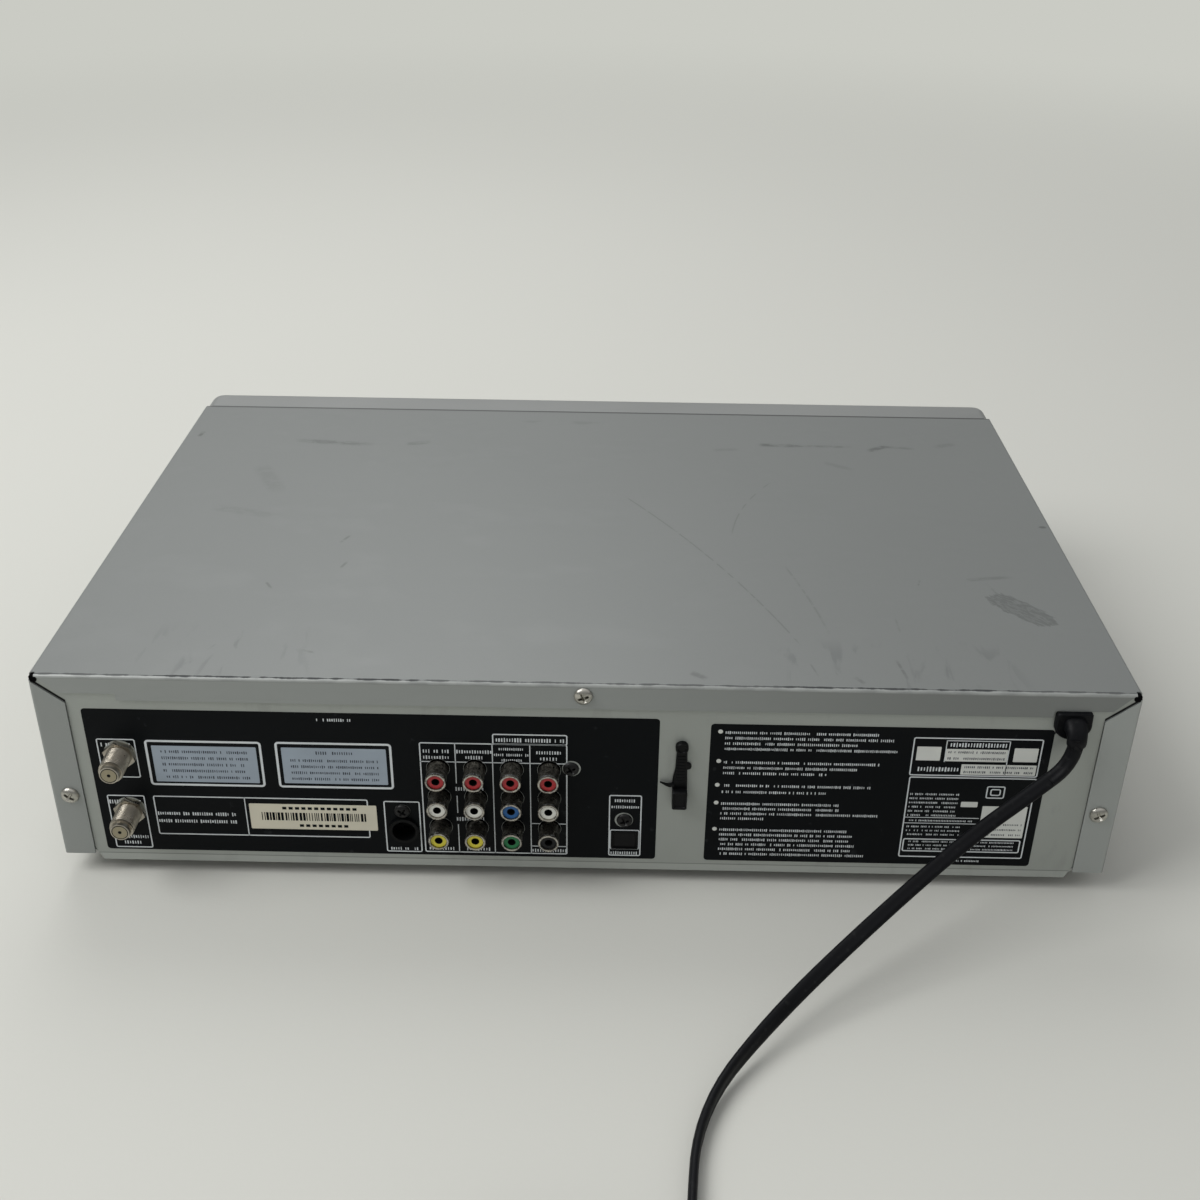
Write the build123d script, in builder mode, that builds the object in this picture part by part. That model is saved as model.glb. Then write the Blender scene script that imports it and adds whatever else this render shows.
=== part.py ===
from build123d import *
from math import cos, sin, tan, pi, radians, degrees
import os

os.makedirs("parts", exist_ok=True)

# A disc player and tape deck in one case. Front is -Y, rear is +Y, up is +Z, and the floor is z = 0.

# Case
case_w = 430.0
case_h = 97.5
case_d = 293.0
bezel_d = 20.0
sheet = 0.8
foot_h = 6.4
foot_r = 11.0
button_proud = 1.0
antenna_reach = 14.0
seat_gap = 0.3

# Bottom pan
pan_sheet = 1.0
pan_side_rise = 15.6
pan_side_step = 10.0
pan_step_h = 4.0
pan_wall_h = 30.0
board_post_h = 6.0
board_t = 1.6

# Cover flanges at the rear
cover_skirt_z = 9.85
rear_lip_mid = 11.0
rear_lip_end = 8.0
rear_lip_step_in = 33.0
side_flange_w = 12.7
mitre_gap = 0.8
corner_notch = 2.5
fold_r = 1.2

# Bezel
bezel_wall = 2.2
bezel_plan_r = 7.0
bezel_top_r = 4.5
bezel_low_z = 8.5

# Tape deck
cassette_w = 187.4
cassette_d = 103.0
cassette_h = 25.0
deck_gap_share = 0.1056
deck_sheet = 1.5
deck_z = 24.0
flap_w = 196.0
flap_h = 29.0
flap_t = 2.0
flap_drop = 8.3
basket_wall = 1.2
basket_depth = 80.0
basket_drop = 20.0
reel_pitch = 92.2
reel_r = 20.0
drum_r = 31.0
drum_tilt = 6.0
drum_from_rear = 60.0
arm_reach = 34.0
arm_pitch_r = 24.0
arm_teeth = 32
capstan_r = 2.0
flywheel_r = 22.0
pinch_r = 6.5
running_gap = 0.05

# Disc loader
disc_gap_share = 0.6804
disc_r = 60.0
tray_w = 136.0
tray_l = 183.5
tray_t = 6.5
tray_drop = 11.5
tray_travel = 140.0
tray_front_h = 13.6
tray_front_t = 3.5
tray_front_w = 147.6
rack_module = 1.25
pinion_teeth = 19
turntable_r = 15.0
loader_wall = 2.5
loader_d = 183.0
loader_h = 38.0
sled_travel = 34.0
puck_r = 14.5

# Rear connectors
phono_r = 4.15
phono_bore_r = 3.3
phono_reach = 9.0
phono_columns = (57.9, 43.1, 28.4, 13.5)
phono_rows = (56.2, 42.1, 26.8)
front_phono_in = (47.0, 31.0, 15.0)
front_phono_z = 34.0
antenna_r = 4.7
antenna_in = 30.5
antenna_neck_r = 4.0
antenna_nut_r = 6.5
antenna_nut_t = 2.4
antenna_z = (60.5, 32.5)
svideo_x = 73.1
svideo_z = 24.9
svideo_r = 4.75
optical_x = -17.2
optical_z = 21.9
optical_w = 11.0
optical_h = 9.1
optical_mouth_w = 9.4
optical_mouth_h = 7.6
optical_depth = 10.0
shutter_t = 0.8
cover_screw_in = 7.3
cover_screw_z = 40.0
cover_screw_top = 5.0
panel_screw_at = ((73.4, 34.4), (4.8, 57.2), (-17.0, 31.9))
screw_r = 1.5
screw_head_r = 3.1
screw_head_h = 2.0
clip_x = -39.0
clip_z = 69.2
clip_tail_z = 45.0

# Mains cord
cord_d = 6.0
exit_in = 24.5
exit_drop = 17.5
exit_out = 6.0
coil_r = 43.5
coil_gap = 0.6
coil_rise = 0.6
plug_relief = 24.0
plug_w = 26.0
plug_l = 30.0
blade_pitch = 12.7
blade_l = 16.0
blade_w = 6.3
blade_t = 1.5

# Places that follow from the sizes
rear_y = (case_d + button_proud - antenna_reach) / 2
front_y = rear_y - case_d
seam_y = front_y + bezel_d
panel_y = rear_y - sheet
panel_in = panel_y - sheet
floor_z = foot_h + pan_sheet
board_z = floor_z + board_post_h
board_top = board_z + board_t
half_w = case_w / 2
pan_flat_half = half_w - pan_side_rise
pan_step_half = half_w - pan_side_step
rear_lip_step_x = half_w - rear_lip_step_in
cover_screw_x = half_w - cover_screw_in
antenna_x = half_w - antenna_in
exit_x = exit_in - half_w
front_phono_x = [half_w - step for step in front_phono_in]
inner_half = half_w - sheet - seat_gap
cover_in_z = case_h - sheet
bezel_in_y = front_y + bezel_wall
deck_top = deck_z + deck_sheet
side_in = half_w - sheet - seat_gap
deck_half = cassette_w / 2 + 9.3
guide_half = tray_w / 2 + 0.4
loader_out = guide_half + loader_wall
pinion_r = rack_module * pinion_teeth / 2
loader_left = loader_out + 2 * pinion_r - 3.2
spare_w = 2 * side_in - (2 * deck_half + 3.6) - (loader_left + loader_out)
deck_x = -side_in + deck_gap_share * spare_w + deck_half + 2.0
disc_x = side_in - disc_gap_share * spare_w - loader_out


def at_y(y):
    """A plane facing the front at this y, with x to the right and z up."""
    return Plane.XZ.offset(-y)


def block(x, y, z, mode=Mode.ADD):
    """A box from its low and high edge on each axis."""
    with Locations(((x[0] + x[1]) / 2, (y[0] + y[1]) / 2, (z[0] + z[1]) / 2)):
        Box(x[1] - x[0], y[1] - y[0], z[1] - z[0], mode=mode)


def post(x, y, z0, z1, r, mode=Mode.ADD):
    """An upright cylinder between two heights."""
    with Locations((x, y, (z0 + z1) / 2)):
        Cylinder(r, z1 - z0, mode=mode)


def rod_y(x, z, y0, y1, r, mode=Mode.ADD):
    """A cylinder along Y between two ends."""
    with Locations((x, (y0 + y1) / 2, z)):
        Cylinder(r, y1 - y0, rotation=(90, 0, 0), mode=mode)


def rod_x(y, z, x0, x1, r, mode=Mode.ADD):
    """A cylinder along X between two ends."""
    with Locations(((x0 + x1) / 2, y, z)):
        Cylinder(r, x1 - x0, rotation=(0, 90, 0), mode=mode)


def gear_points(teeth, pitch_r, module, turn):
    """Outline of a spur gear with straight-flanked teeth, a little thin for backlash."""
    points = []
    step = 2 * pi / teeth
    for tooth in range(teeth):
        middle = turn + tooth * step
        for share, radius in (
            (-0.31, pitch_r - 1.25 * module),
            (-0.1, pitch_r + 0.8 * module),
            (0.1, pitch_r + 0.8 * module),
            (0.31, pitch_r - 1.25 * module),
        ):
            angle = middle + share * step
            points.append((radius * cos(angle), radius * sin(angle)))
    return points


def finish(part, name):
    """Label a sub-part and write it."""
    part.label = name
    export_step(part, f"parts/{name}.step")


# Chassis pan: a folded tray with raised seats for the boards and vents in its floor
pan_y0 = seam_y + 2.0
pan_y1 = panel_in - sheet
pan_step_z = foot_h + pan_step_h
pan_half = inner_half - 0.5
pan_vents = ((exit_x + 18.0, 92.0, 5, 4), (deck_x, -62.0, 7, 3), (disc_x, -30.0, 7, 4), (90.0, 100.0, 9, 2))
board_y0 = seam_y + loader_d + 16.0
board_y1 = panel_in - 6.4
board_x0 = -28.0
board_x1 = inner_half - 9.0
power_x0 = -inner_half + 9.0
power_x1 = power_x0 + 63.0
power_y1 = panel_in - 3.4
power_y0 = power_y1 - 87.0
board_seats = [
    (board_x0 + 6.0, board_y1 - 5.0),
    (board_x1 - 6.0, board_y1 - 5.0),
    (board_x1 - 6.0, board_y0 + 5.0),
    (disc_x - 10.0, board_y0 + 5.0),
    (disc_x - 10.0, board_y1 - 12.0),
    (power_x0 + 5.0, power_y0 + 5.0),
    (power_x1 - 5.0, power_y0 + 5.0),
    (power_x0 + 5.0, power_y1 - 5.0),
    (power_x1 - 5.0, power_y1 - 5.0),
]
with BuildPart() as chassis_pan:
    with BuildSketch(at_y(pan_y1)):
        with BuildLine():
            Polyline(
                (-pan_half, foot_h + pan_wall_h),
                (-pan_half, pan_step_z),
                (-pan_step_half, pan_step_z),
                (-pan_flat_half, foot_h),
                (pan_flat_half, foot_h),
                (pan_step_half, pan_step_z),
                (pan_half, pan_step_z),
                (pan_half, foot_h + pan_wall_h),
                close=True,
            )
        make_face()
        with BuildLine():
            Polyline(
                (-pan_half + pan_sheet, foot_h + pan_wall_h),
                (-pan_half + pan_sheet, pan_step_z + pan_sheet),
                (-pan_step_half + 0.3 * pan_sheet, pan_step_z + pan_sheet),
                (-pan_flat_half + 0.3 * pan_sheet, floor_z),
                (pan_flat_half - 0.3 * pan_sheet, floor_z),
                (pan_step_half - 0.3 * pan_sheet, pan_step_z + pan_sheet),
                (pan_half - pan_sheet, pan_step_z + pan_sheet),
                (pan_half - pan_sheet, foot_h + pan_wall_h),
                close=True,
            )
        make_face(mode=Mode.SUBTRACT)
    extrude(amount=pan_y1 - pan_y0)
    block((-pan_flat_half, pan_flat_half), (pan_y0, pan_y0 + pan_sheet), (floor_z - 0.5, floor_z + 6.0))
    lip_half = pan_flat_half - 3.4
    block((-lip_half, lip_half), (pan_y1 - sheet, pan_y1), (floor_z - 0.5, floor_z + 6.0))
    for vent_x, vent_y, vent_columns, vent_rows in pan_vents:
        with BuildSketch(Plane.XY.offset(foot_h)):
            with Locations((vent_x, vent_y)):
                with GridLocations(9.0, 16.0, vent_columns, vent_rows):
                    Rectangle(3.0, 12.0)
        extrude(amount=pan_sheet, mode=Mode.SUBTRACT)
    for seat_x, seat_y in board_seats:
        with BuildSketch(Plane.XY.offset(floor_z)):
            with Locations((seat_x, seat_y)):
                Circle(3.2)
        extrude(amount=board_post_h)
finish(chassis_pan.part, "chassis_pan")

# Rubber feet under the pan
feet_x = case_w * 0.35
feet_y = (seam_y + 33.0, rear_y - 45.0)
with BuildPart() as rubber_feet:
    for side in (-1, 1):
        for foot_y in feet_y:
            with BuildSketch(Plane.XY):
                with Locations((side * feet_x, foot_y)):
                    Circle(foot_r)
            extrude(amount=foot_h, taper=6)
finish(rubber_feet.part, "rubber_feet")

# Rear panel with its connector holes
bushing_z = case_h - 14.2
bushing_w = 14.3
bushing_h = 12.2
panel_foot_half = pan_flat_half
with BuildPart() as rear_panel:
    with BuildSketch(at_y(panel_in)):
        with BuildLine():
            Polyline(
                (-panel_foot_half, foot_h),
                (panel_foot_half, foot_h),
                (panel_foot_half + 2.9, foot_h + 6.3),
                (pan_half, foot_h + 6.3),
                (pan_half, cover_in_z - seat_gap),
                (-pan_half, cover_in_z - seat_gap),
                (-pan_half, foot_h + 6.3),
                (-panel_foot_half - 2.9, foot_h + 6.3),
                close=True,
            )
        make_face()
        for phono_x in phono_columns:
            for phono_z in phono_rows:
                with Locations((phono_x, phono_z)):
                    Circle(phono_r + 0.45, mode=Mode.SUBTRACT)
        for hole_z in antenna_z:
            with Locations((antenna_x, hole_z)):
                Circle(antenna_r + 0.3, mode=Mode.SUBTRACT)
        with Locations((svideo_x, svideo_z)):
            Circle(svideo_r + 1.6, mode=Mode.SUBTRACT)
        with Locations((optical_x, optical_z)):
            Rectangle(optical_w, optical_h, mode=Mode.SUBTRACT)
        with Locations((exit_x + 0.6, bushing_z)):
            Rectangle(bushing_w - 2.4, bushing_h - 2.4, mode=Mode.SUBTRACT)
        for hole_x, hole_z in panel_screw_at:
            with Locations((hole_x, hole_z)):
                Circle(screw_r + 0.1, mode=Mode.SUBTRACT)
        with Locations((clip_x, clip_z), (clip_x - 1.2, clip_z - 10.5)):
            Circle(1.6, mode=Mode.SUBTRACT)
        with Locations(
            (cover_screw_x, cover_screw_z), (-cover_screw_x, cover_screw_z), (0, case_h - cover_screw_top)
        ):
            Circle(screw_r + 0.1, mode=Mode.SUBTRACT)
    extrude(amount=-sheet)
finish(rear_panel.part, "rear_panel")

# Top cover: one sheet folded over the top, both sides and the rear edge
side_flange_in = half_w - side_flange_w
lip_end_x = half_w - corner_notch - rear_lip_end
with BuildPart() as top_cover:
    with BuildSketch(at_y(rear_y)):
        with Locations((0, (cover_skirt_z + case_h) / 2)):
            Rectangle(case_w, case_h - cover_skirt_z)
        fillet(vertices().group_by(Axis.Y)[-1], radius=fold_r)
        with Locations((0, (cover_skirt_z + cover_in_z) / 2 - fold_r)):
            RectangleRounded(
                case_w - 2 * sheet,
                cover_in_z - cover_skirt_z + 2 * fold_r,
                fold_r - sheet,
                mode=Mode.SUBTRACT,
            )
    extrude(amount=rear_y - seam_y)
    with BuildSketch(at_y(panel_y)):
        with BuildLine():
            Polyline(
                (-half_w + corner_notch, case_h),
                (-lip_end_x, case_h - rear_lip_end),
                (-rear_lip_step_x, case_h - rear_lip_end),
                (-rear_lip_step_x, case_h - rear_lip_mid),
                (rear_lip_step_x, case_h - rear_lip_mid),
                (rear_lip_step_x, case_h - rear_lip_end),
                (lip_end_x, case_h - rear_lip_end),
                (half_w - corner_notch, case_h),
                close=True,
            )
        make_face()
        with Locations((0, case_h - cover_screw_top)):
            Circle(screw_r + 0.1, mode=Mode.SUBTRACT)
    extrude(amount=-sheet)
    for side in (-1, 1):
        with BuildSketch(at_y(panel_y)):
            with BuildLine():
                Polyline(
                    (side * half_w, cover_skirt_z),
                    (side * side_flange_in, cover_skirt_z),
                    (side * side_flange_in, case_h - side_flange_w),
                    (side * half_w, case_h - corner_notch),
                    close=True,
                )
            make_face()
            with Locations((side * cover_screw_x, cover_screw_z)):
                Circle(screw_r + 0.1, mode=Mode.SUBTRACT)
        extrude(amount=-sheet)
        block(
            tuple(sorted((side * (half_w - corner_notch), side * (half_w + 1.0)))),
            (rear_y - corner_notch, rear_y + 1.0),
            (case_h - corner_notch, case_h + 1.0),
            mode=Mode.SUBTRACT,
        )
    rear_edges = top_cover.edges().filter_by_position(Axis.Y, rear_y - 0.01, rear_y + 0.01)
    top_fold = rear_edges.filter_by_position(Axis.Z, case_h - 0.01, case_h + 0.01)
    left_fold = rear_edges.filter_by_position(Axis.X, -half_w - 0.01, -half_w + 0.01)
    right_fold = rear_edges.filter_by_position(Axis.X, half_w - 0.01, half_w + 0.01)
    fillet(top_fold + left_fold + right_fold, radius=fold_r)
finish(top_cover.part, "top_cover")

# Screws that hold the cover to the panel, and the panel to the connectors
screw_reach = 7.0
with BuildPart() as cover_screws:
    for screw_x, screw_z in (
        (cover_screw_x, cover_screw_z),
        (-cover_screw_x, cover_screw_z),
        (0, case_h - cover_screw_top),
    ):
        rod_y(screw_x, screw_z, rear_y - screw_reach, rear_y, screw_r)
        with BuildSketch(at_y(rear_y)):
            with Locations((screw_x, screw_z)):
                Circle(screw_head_r)
        extrude(amount=-screw_head_h, taper=22)
        block(
            (screw_x - 1.7, screw_x + 1.7),
            (rear_y + 0.9, rear_y + screw_head_h),
            (screw_z - 0.45, screw_z + 0.45),
            mode=Mode.SUBTRACT,
        )
        block(
            (screw_x - 0.45, screw_x + 0.45),
            (rear_y + 0.9, rear_y + screw_head_h),
            (screw_z - 1.7, screw_z + 1.7),
            mode=Mode.SUBTRACT,
        )
finish(cover_screws.part, "cover_screws")

with BuildPart() as panel_screws:
    for screw_x, screw_z in panel_screw_at:
        rod_y(screw_x, screw_z, panel_in, panel_y, screw_r)
        with BuildSketch(at_y(panel_y)):
            with Locations((screw_x, screw_z)):
                Circle(screw_head_r - 0.3)
        extrude(amount=-1.6, taper=22)
        block(
            (screw_x - 1.5, screw_x + 1.5),
            (panel_y + 0.8, panel_y + 1.6),
            (screw_z - 0.4, screw_z + 0.4),
            mode=Mode.SUBTRACT,
        )
        block(
            (screw_x - 0.4, screw_x + 0.4),
            (panel_y + 0.8, panel_y + 1.6),
            (screw_z - 1.5, screw_z + 1.5),
            mode=Mode.SUBTRACT,
        )
finish(panel_screws.part, "panel_screws")

# Tuner can with the two antenna connectors on its face
can_d = 50.0
can_half_w = 12.5
with BuildPart() as tuner_can:
    block(
        (antenna_x - can_half_w, antenna_x + can_half_w),
        (panel_in - can_d, panel_in),
        (board_top, antenna_z[0] + 14.0),
    )
    for rib_z in (board_top + 12.0, board_top + 24.0, board_top + 36.0):
        block(
            (antenna_x - can_half_w - 0.6, antenna_x + can_half_w + 0.6),
            (panel_in - can_d + 4.0, panel_in - 6.0),
            (rib_z, rib_z + 1.2),
        )
finish(tuner_can.part, "tuner_can")

with BuildPart() as antenna_connectors:
    for connector_z in antenna_z:
        with BuildSketch(Plane.YZ.offset(antenna_x)):
            with BuildLine():
                Polyline(
                    (panel_in, connector_z),
                    (panel_in, connector_z + antenna_neck_r),
                    (panel_y + 1.0, connector_z + antenna_neck_r),
                    (panel_y + 1.0, connector_z + antenna_r),
                    (rear_y + antenna_reach - 2.0, connector_z + antenna_r),
                    (rear_y + antenna_reach - 2.0, connector_z + antenna_r - 0.7),
                    (rear_y + antenna_reach, connector_z + antenna_r - 0.9),
                    (rear_y + antenna_reach, connector_z + 0.7),
                    (rear_y + antenna_reach - 5.0, connector_z + 0.7),
                    (rear_y + antenna_reach - 5.0, connector_z),
                    close=True,
                )
            make_face()
        revolve(axis=Axis((antenna_x, 0, connector_z), (0, 1, 0)))
        with BuildSketch(at_y(panel_y)):
            with Locations((antenna_x, connector_z)):
                RegularPolygon(antenna_nut_r, 6, rotation=18)
        extrude(amount=-antenna_nut_t)
finish(antenna_connectors.part, "antenna_connectors")

# Phono jacks: a metal shell round a coloured insert, twelve behind and three in front
phono_end = rear_y + phono_reach
front_shell_y = front_y - 0.6
rear_jacks = [(x, z) for x in phono_columns for z in phono_rows]
with BuildPart() as rca_shells:
    for jack_x, jack_z in rear_jacks:
        with BuildSketch(at_y(panel_in)):
            with Locations((jack_x, jack_z)):
                Circle(phono_r)
                Circle(phono_bore_r, mode=Mode.SUBTRACT)
        extrude(amount=-(phono_end - panel_in))
        with BuildSketch(at_y(panel_in)):
            with Locations((jack_x, jack_z)):
                Circle(phono_r + 0.4)
                Circle(phono_bore_r, mode=Mode.SUBTRACT)
        extrude(amount=-(panel_y + 0.3 - panel_in))
    for jack_x in front_phono_x:
        with BuildSketch(at_y(front_shell_y)):
            with Locations((jack_x, front_phono_z)):
                Circle(phono_r)
                Circle(phono_bore_r, mode=Mode.SUBTRACT)
        extrude(amount=-(bezel_in_y + 2.5 - front_shell_y))
finish(rca_shells.part, "rca_shells")


def phono_inserts(rear, front):
    """Round inserts with a pin hole, in the open part builder, for the jacks named by place."""
    insert_r = phono_bore_r - 0.05
    for jack_x, jack_z in rear:
        rod_y(jack_x, jack_z, panel_in, phono_end - 0.7, insert_r)
        rod_y(jack_x, jack_z, phono_end - 8.0, phono_end - 0.7, 1.6, mode=Mode.SUBTRACT)
    for jack_x in front:
        rod_y(jack_x, front_phono_z, front_shell_y + 0.7, bezel_in_y + 2.5, insert_r)
        rod_y(jack_x, front_phono_z, front_shell_y + 0.7, front_shell_y + 4.0, 1.6, mode=Mode.SUBTRACT)


top_row, middle_row, low_row = phono_rows
column_a, column_b, column_c, column_d = phono_columns
with BuildPart() as rca_inserts_red:
    phono_inserts(
        ((column_a, top_row), (column_b, top_row), (column_c, top_row), (column_d, top_row)),
        (front_phono_x[2],),
    )
finish(rca_inserts_red.part, "rca_inserts_red")

with BuildPart() as rca_inserts_white:
    phono_inserts(
        ((column_a, middle_row), (column_b, middle_row), (column_d, middle_row)), (front_phono_x[1],)
    )
finish(rca_inserts_white.part, "rca_inserts_white")

with BuildPart() as rca_inserts_yellow:
    phono_inserts(((column_a, low_row), (column_b, low_row)), (front_phono_x[0],))
finish(rca_inserts_yellow.part, "rca_inserts_yellow")

with BuildPart() as rca_inserts_mixed:
    phono_inserts(((column_c, middle_row), (column_c, low_row), (column_d, low_row)), ())
finish(rca_inserts_mixed.part, "rca_inserts_mixed")

# S-video socket: a round shield with four contact holes and a key in its face
with BuildPart() as svideo_socket:
    rod_y(svideo_x, svideo_z, panel_in - 12.0, rear_y + 0.6, svideo_r + 1.3)
    rod_y(svideo_x, svideo_z, rear_y - 6.0, rear_y + 0.6, svideo_r, mode=Mode.SUBTRACT)
    for side in (-1, 1):
        rod_y(svideo_x + side * 1.5, svideo_z + 1.6, rear_y - 10.0, rear_y - 6.0, 0.6, mode=Mode.SUBTRACT)
        rod_y(svideo_x + side * 2.6, svideo_z - 1.0, rear_y - 10.0, rear_y - 6.0, 0.6, mode=Mode.SUBTRACT)
    block(
        (svideo_x - 1.4, svideo_x + 1.4),
        (rear_y - 10.0, rear_y - 6.0),
        (svideo_z - 3.4, svideo_z - 2.2),
        mode=Mode.SUBTRACT,
    )
finish(svideo_socket.part, "svideo_socket")

# Optical socket: a square mouth closed by a sprung shutter hinged at its top
optical_back = panel_in - optical_depth - 2.0
shutter_axis_z = optical_z + optical_mouth_h / 2 - 0.5
shutter_axis_y = rear_y - 0.9
with BuildPart() as optical_socket:
    block(
        (optical_x - optical_w / 2 + 0.1, optical_x + optical_w / 2 - 0.1),
        (optical_back, rear_y),
        (optical_z - optical_h / 2 + 0.1, optical_z + optical_h / 2 - 0.1),
    )
    block(
        (optical_x - optical_w / 2 - 1.5, optical_x + optical_w / 2 + 1.5),
        (optical_back, panel_in),
        (board_top, optical_z + optical_h / 2 + 1.5),
    )
    block(
        (optical_x - optical_mouth_w / 2, optical_x + optical_mouth_w / 2),
        (rear_y - optical_depth, rear_y),
        (optical_z - optical_mouth_h / 2, optical_z + optical_mouth_h / 2),
        mode=Mode.SUBTRACT,
    )
    rod_x(
        shutter_axis_y,
        shutter_axis_z,
        optical_x - optical_mouth_w / 2 - 0.5,
        optical_x + optical_mouth_w / 2 + 0.5,
        0.35 + running_gap,
        mode=Mode.SUBTRACT,
    )
    rod_y(optical_x, optical_z, optical_back + 0.5, rear_y - optical_depth, 1.2, mode=Mode.SUBTRACT)
finish(optical_socket.part, "optical_socket")

with BuildPart() as optical_shutter:
    block(
        (optical_x - optical_mouth_w / 2 + 0.15, optical_x + optical_mouth_w / 2 - 0.15),
        (shutter_axis_y - shutter_t / 2, shutter_axis_y + shutter_t / 2),
        (optical_z - optical_mouth_h / 2 + 0.15, shutter_axis_z),
    )
    rod_x(
        shutter_axis_y,
        shutter_axis_z,
        optical_x - optical_mouth_w / 2 + 0.15,
        optical_x + optical_mouth_w / 2 - 0.15,
        shutter_t / 2,
    )
    rod_x(
        shutter_axis_y,
        shutter_axis_z,
        optical_x - optical_mouth_w / 2 - 0.4,
        optical_x + optical_mouth_w / 2 + 0.4,
        0.35,
    )
finish(optical_shutter.part, "optical_shutter")

# Cord bushing: a D-shaped flange, with a hood that turns the cord down beside the panel
exit_z = case_h - exit_drop
exit_y = rear_y + exit_out
hood_half = 5.2
with BuildPart() as cord_bushing:
    with BuildSketch(at_y(panel_y)):
        with BuildLine():
            Polyline(
                (exit_x + 0.6 - bushing_w / 2, bushing_z + bushing_h / 2),
                (exit_x + 0.6 + bushing_w / 2, bushing_z + bushing_h / 2),
                (exit_x + 0.6 + bushing_w / 2, bushing_z - 1.0),
                (exit_x + 0.6 + 3.6, bushing_z - bushing_h / 2),
                (exit_x + 0.6 - 3.6, bushing_z - bushing_h / 2),
                (exit_x + 0.6 - bushing_w / 2, bushing_z - 1.0),
                close=True,
            )
        make_face()
        fillet(vertices(), radius=1.4)
    extrude(amount=-2.6)
    block(
        (exit_x + 0.6 - bushing_w / 2 + 1.4, exit_x + 0.6 + bushing_w / 2 - 1.4),
        (panel_in - 6.0, panel_y),
        (bushing_z - bushing_h / 2 + 1.4, bushing_z + bushing_h / 2 - 1.4),
    )
    with BuildSketch(Plane.XY.offset(exit_z)):
        with Locations((exit_x, exit_y - 2.0)):
            Rectangle(2 * hood_half, 2 * hood_half - 2.0)
        fillet(vertices().group_by(Axis.Y)[-1], radius=2.6)
    extrude(amount=8.0, taper=9)
finish(cord_bushing.part, "cord_bushing")

# Cord clip: a push-in head, a toothed strap folded down and a buckle
with BuildPart() as cord_clip:
    rod_y(clip_x, clip_z, panel_in, panel_y, 1.5)
    rod_y(clip_x, clip_z, panel_y, panel_y + 2.4, 2.6)
    with BuildSketch(at_y(panel_y + 0.2)):
        with BuildLine():
            Polyline(
                (clip_x - 2.2, clip_z - 0.4),
                (clip_x + 2.0, clip_z - 0.4),
                (clip_x + 2.5, clip_z - 11.0),
                (clip_x + 3.4, clip_z - 15.5),
                (clip_x + 8.2, clip_z - 17.6),
                (clip_x + 8.0, clip_z - 18.8),
                (clip_x + 3.6, clip_z - 18.6),
                (clip_x + 3.4, clip_z - 28.0),
                (clip_x - 2.8, clip_z - 28.0),
                (clip_x - 2.6, clip_z - 12.0),
                close=True,
            )
        make_face()
    extrude(amount=-1.3)
    block(
        (clip_x - 2.8, clip_x + 3.2),
        (panel_y + 0.2, panel_y + 4.4),
        (clip_z - 28.4, clip_z - 19.6),
    )
    rod_y(clip_x - 1.2, clip_z - 10.5, panel_in, panel_y + 0.6, 1.5)
finish(cord_clip.part, "cord_clip")

# Front bezel: a moulded shell with openings for the flap, tray, window, buttons and jacks
flap_z1 = case_h - flap_drop
flap_z0 = flap_z1 - flap_h
tray_z1 = case_h - tray_drop
tray_z0 = tray_z1 - 14.0
window_x0 = 0.0
window_x1 = half_w - 69.0
window_z1 = tray_z0 - 17.0
window_z0 = window_z1 - 24.0
key_row_high = flap_z0 - 15.2
key_row_low = key_row_high - 15.0
key_w = 26.0
key_h = 8.0
tray_key_w = 18.0
tray_key_h = 9.0
power_key_x = 23.0 - half_w
power_key_r = 8.0
keys = (
    ("rewind_button", 67.0 - half_w, key_row_high, key_w, key_h),
    ("play_button", 99.0 - half_w, key_row_high, key_w, key_h),
    ("forward_button", 131.0 - half_w, key_row_high, key_w, key_h),
    ("stop_eject_button", 83.0 - half_w, key_row_low, key_w, key_h),
    ("record_button", 115.0 - half_w, key_row_low, key_w, key_h),
    ("tray_button", disc_x + 62.0, tray_z0 - 8.5, tray_key_w, tray_key_h),
)
front_board_y = front_y + 14.0
front_board_z0 = 16.0
front_board_z1 = flap_z0 - 2.2
flap_axis_y = front_y + 0.4 + flap_t / 2
flap_axis_z = flap_z1 - 0.2 - flap_t / 2
flap_pin_r = 0.7
bezel_bosses = [
    (45.0 - half_w, key_row_low - 6.0),
    (155.0 - half_w, key_row_low - 6.0),
    (window_x0 - 20.0, window_z1 - 5.0),
    (window_x1 + 10.0, window_z1 - 5.0),
    (window_x1 - 6.0, window_z0 - 7.0),
    (45.0 - half_w, flap_z0 - 7.2),
]
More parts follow.
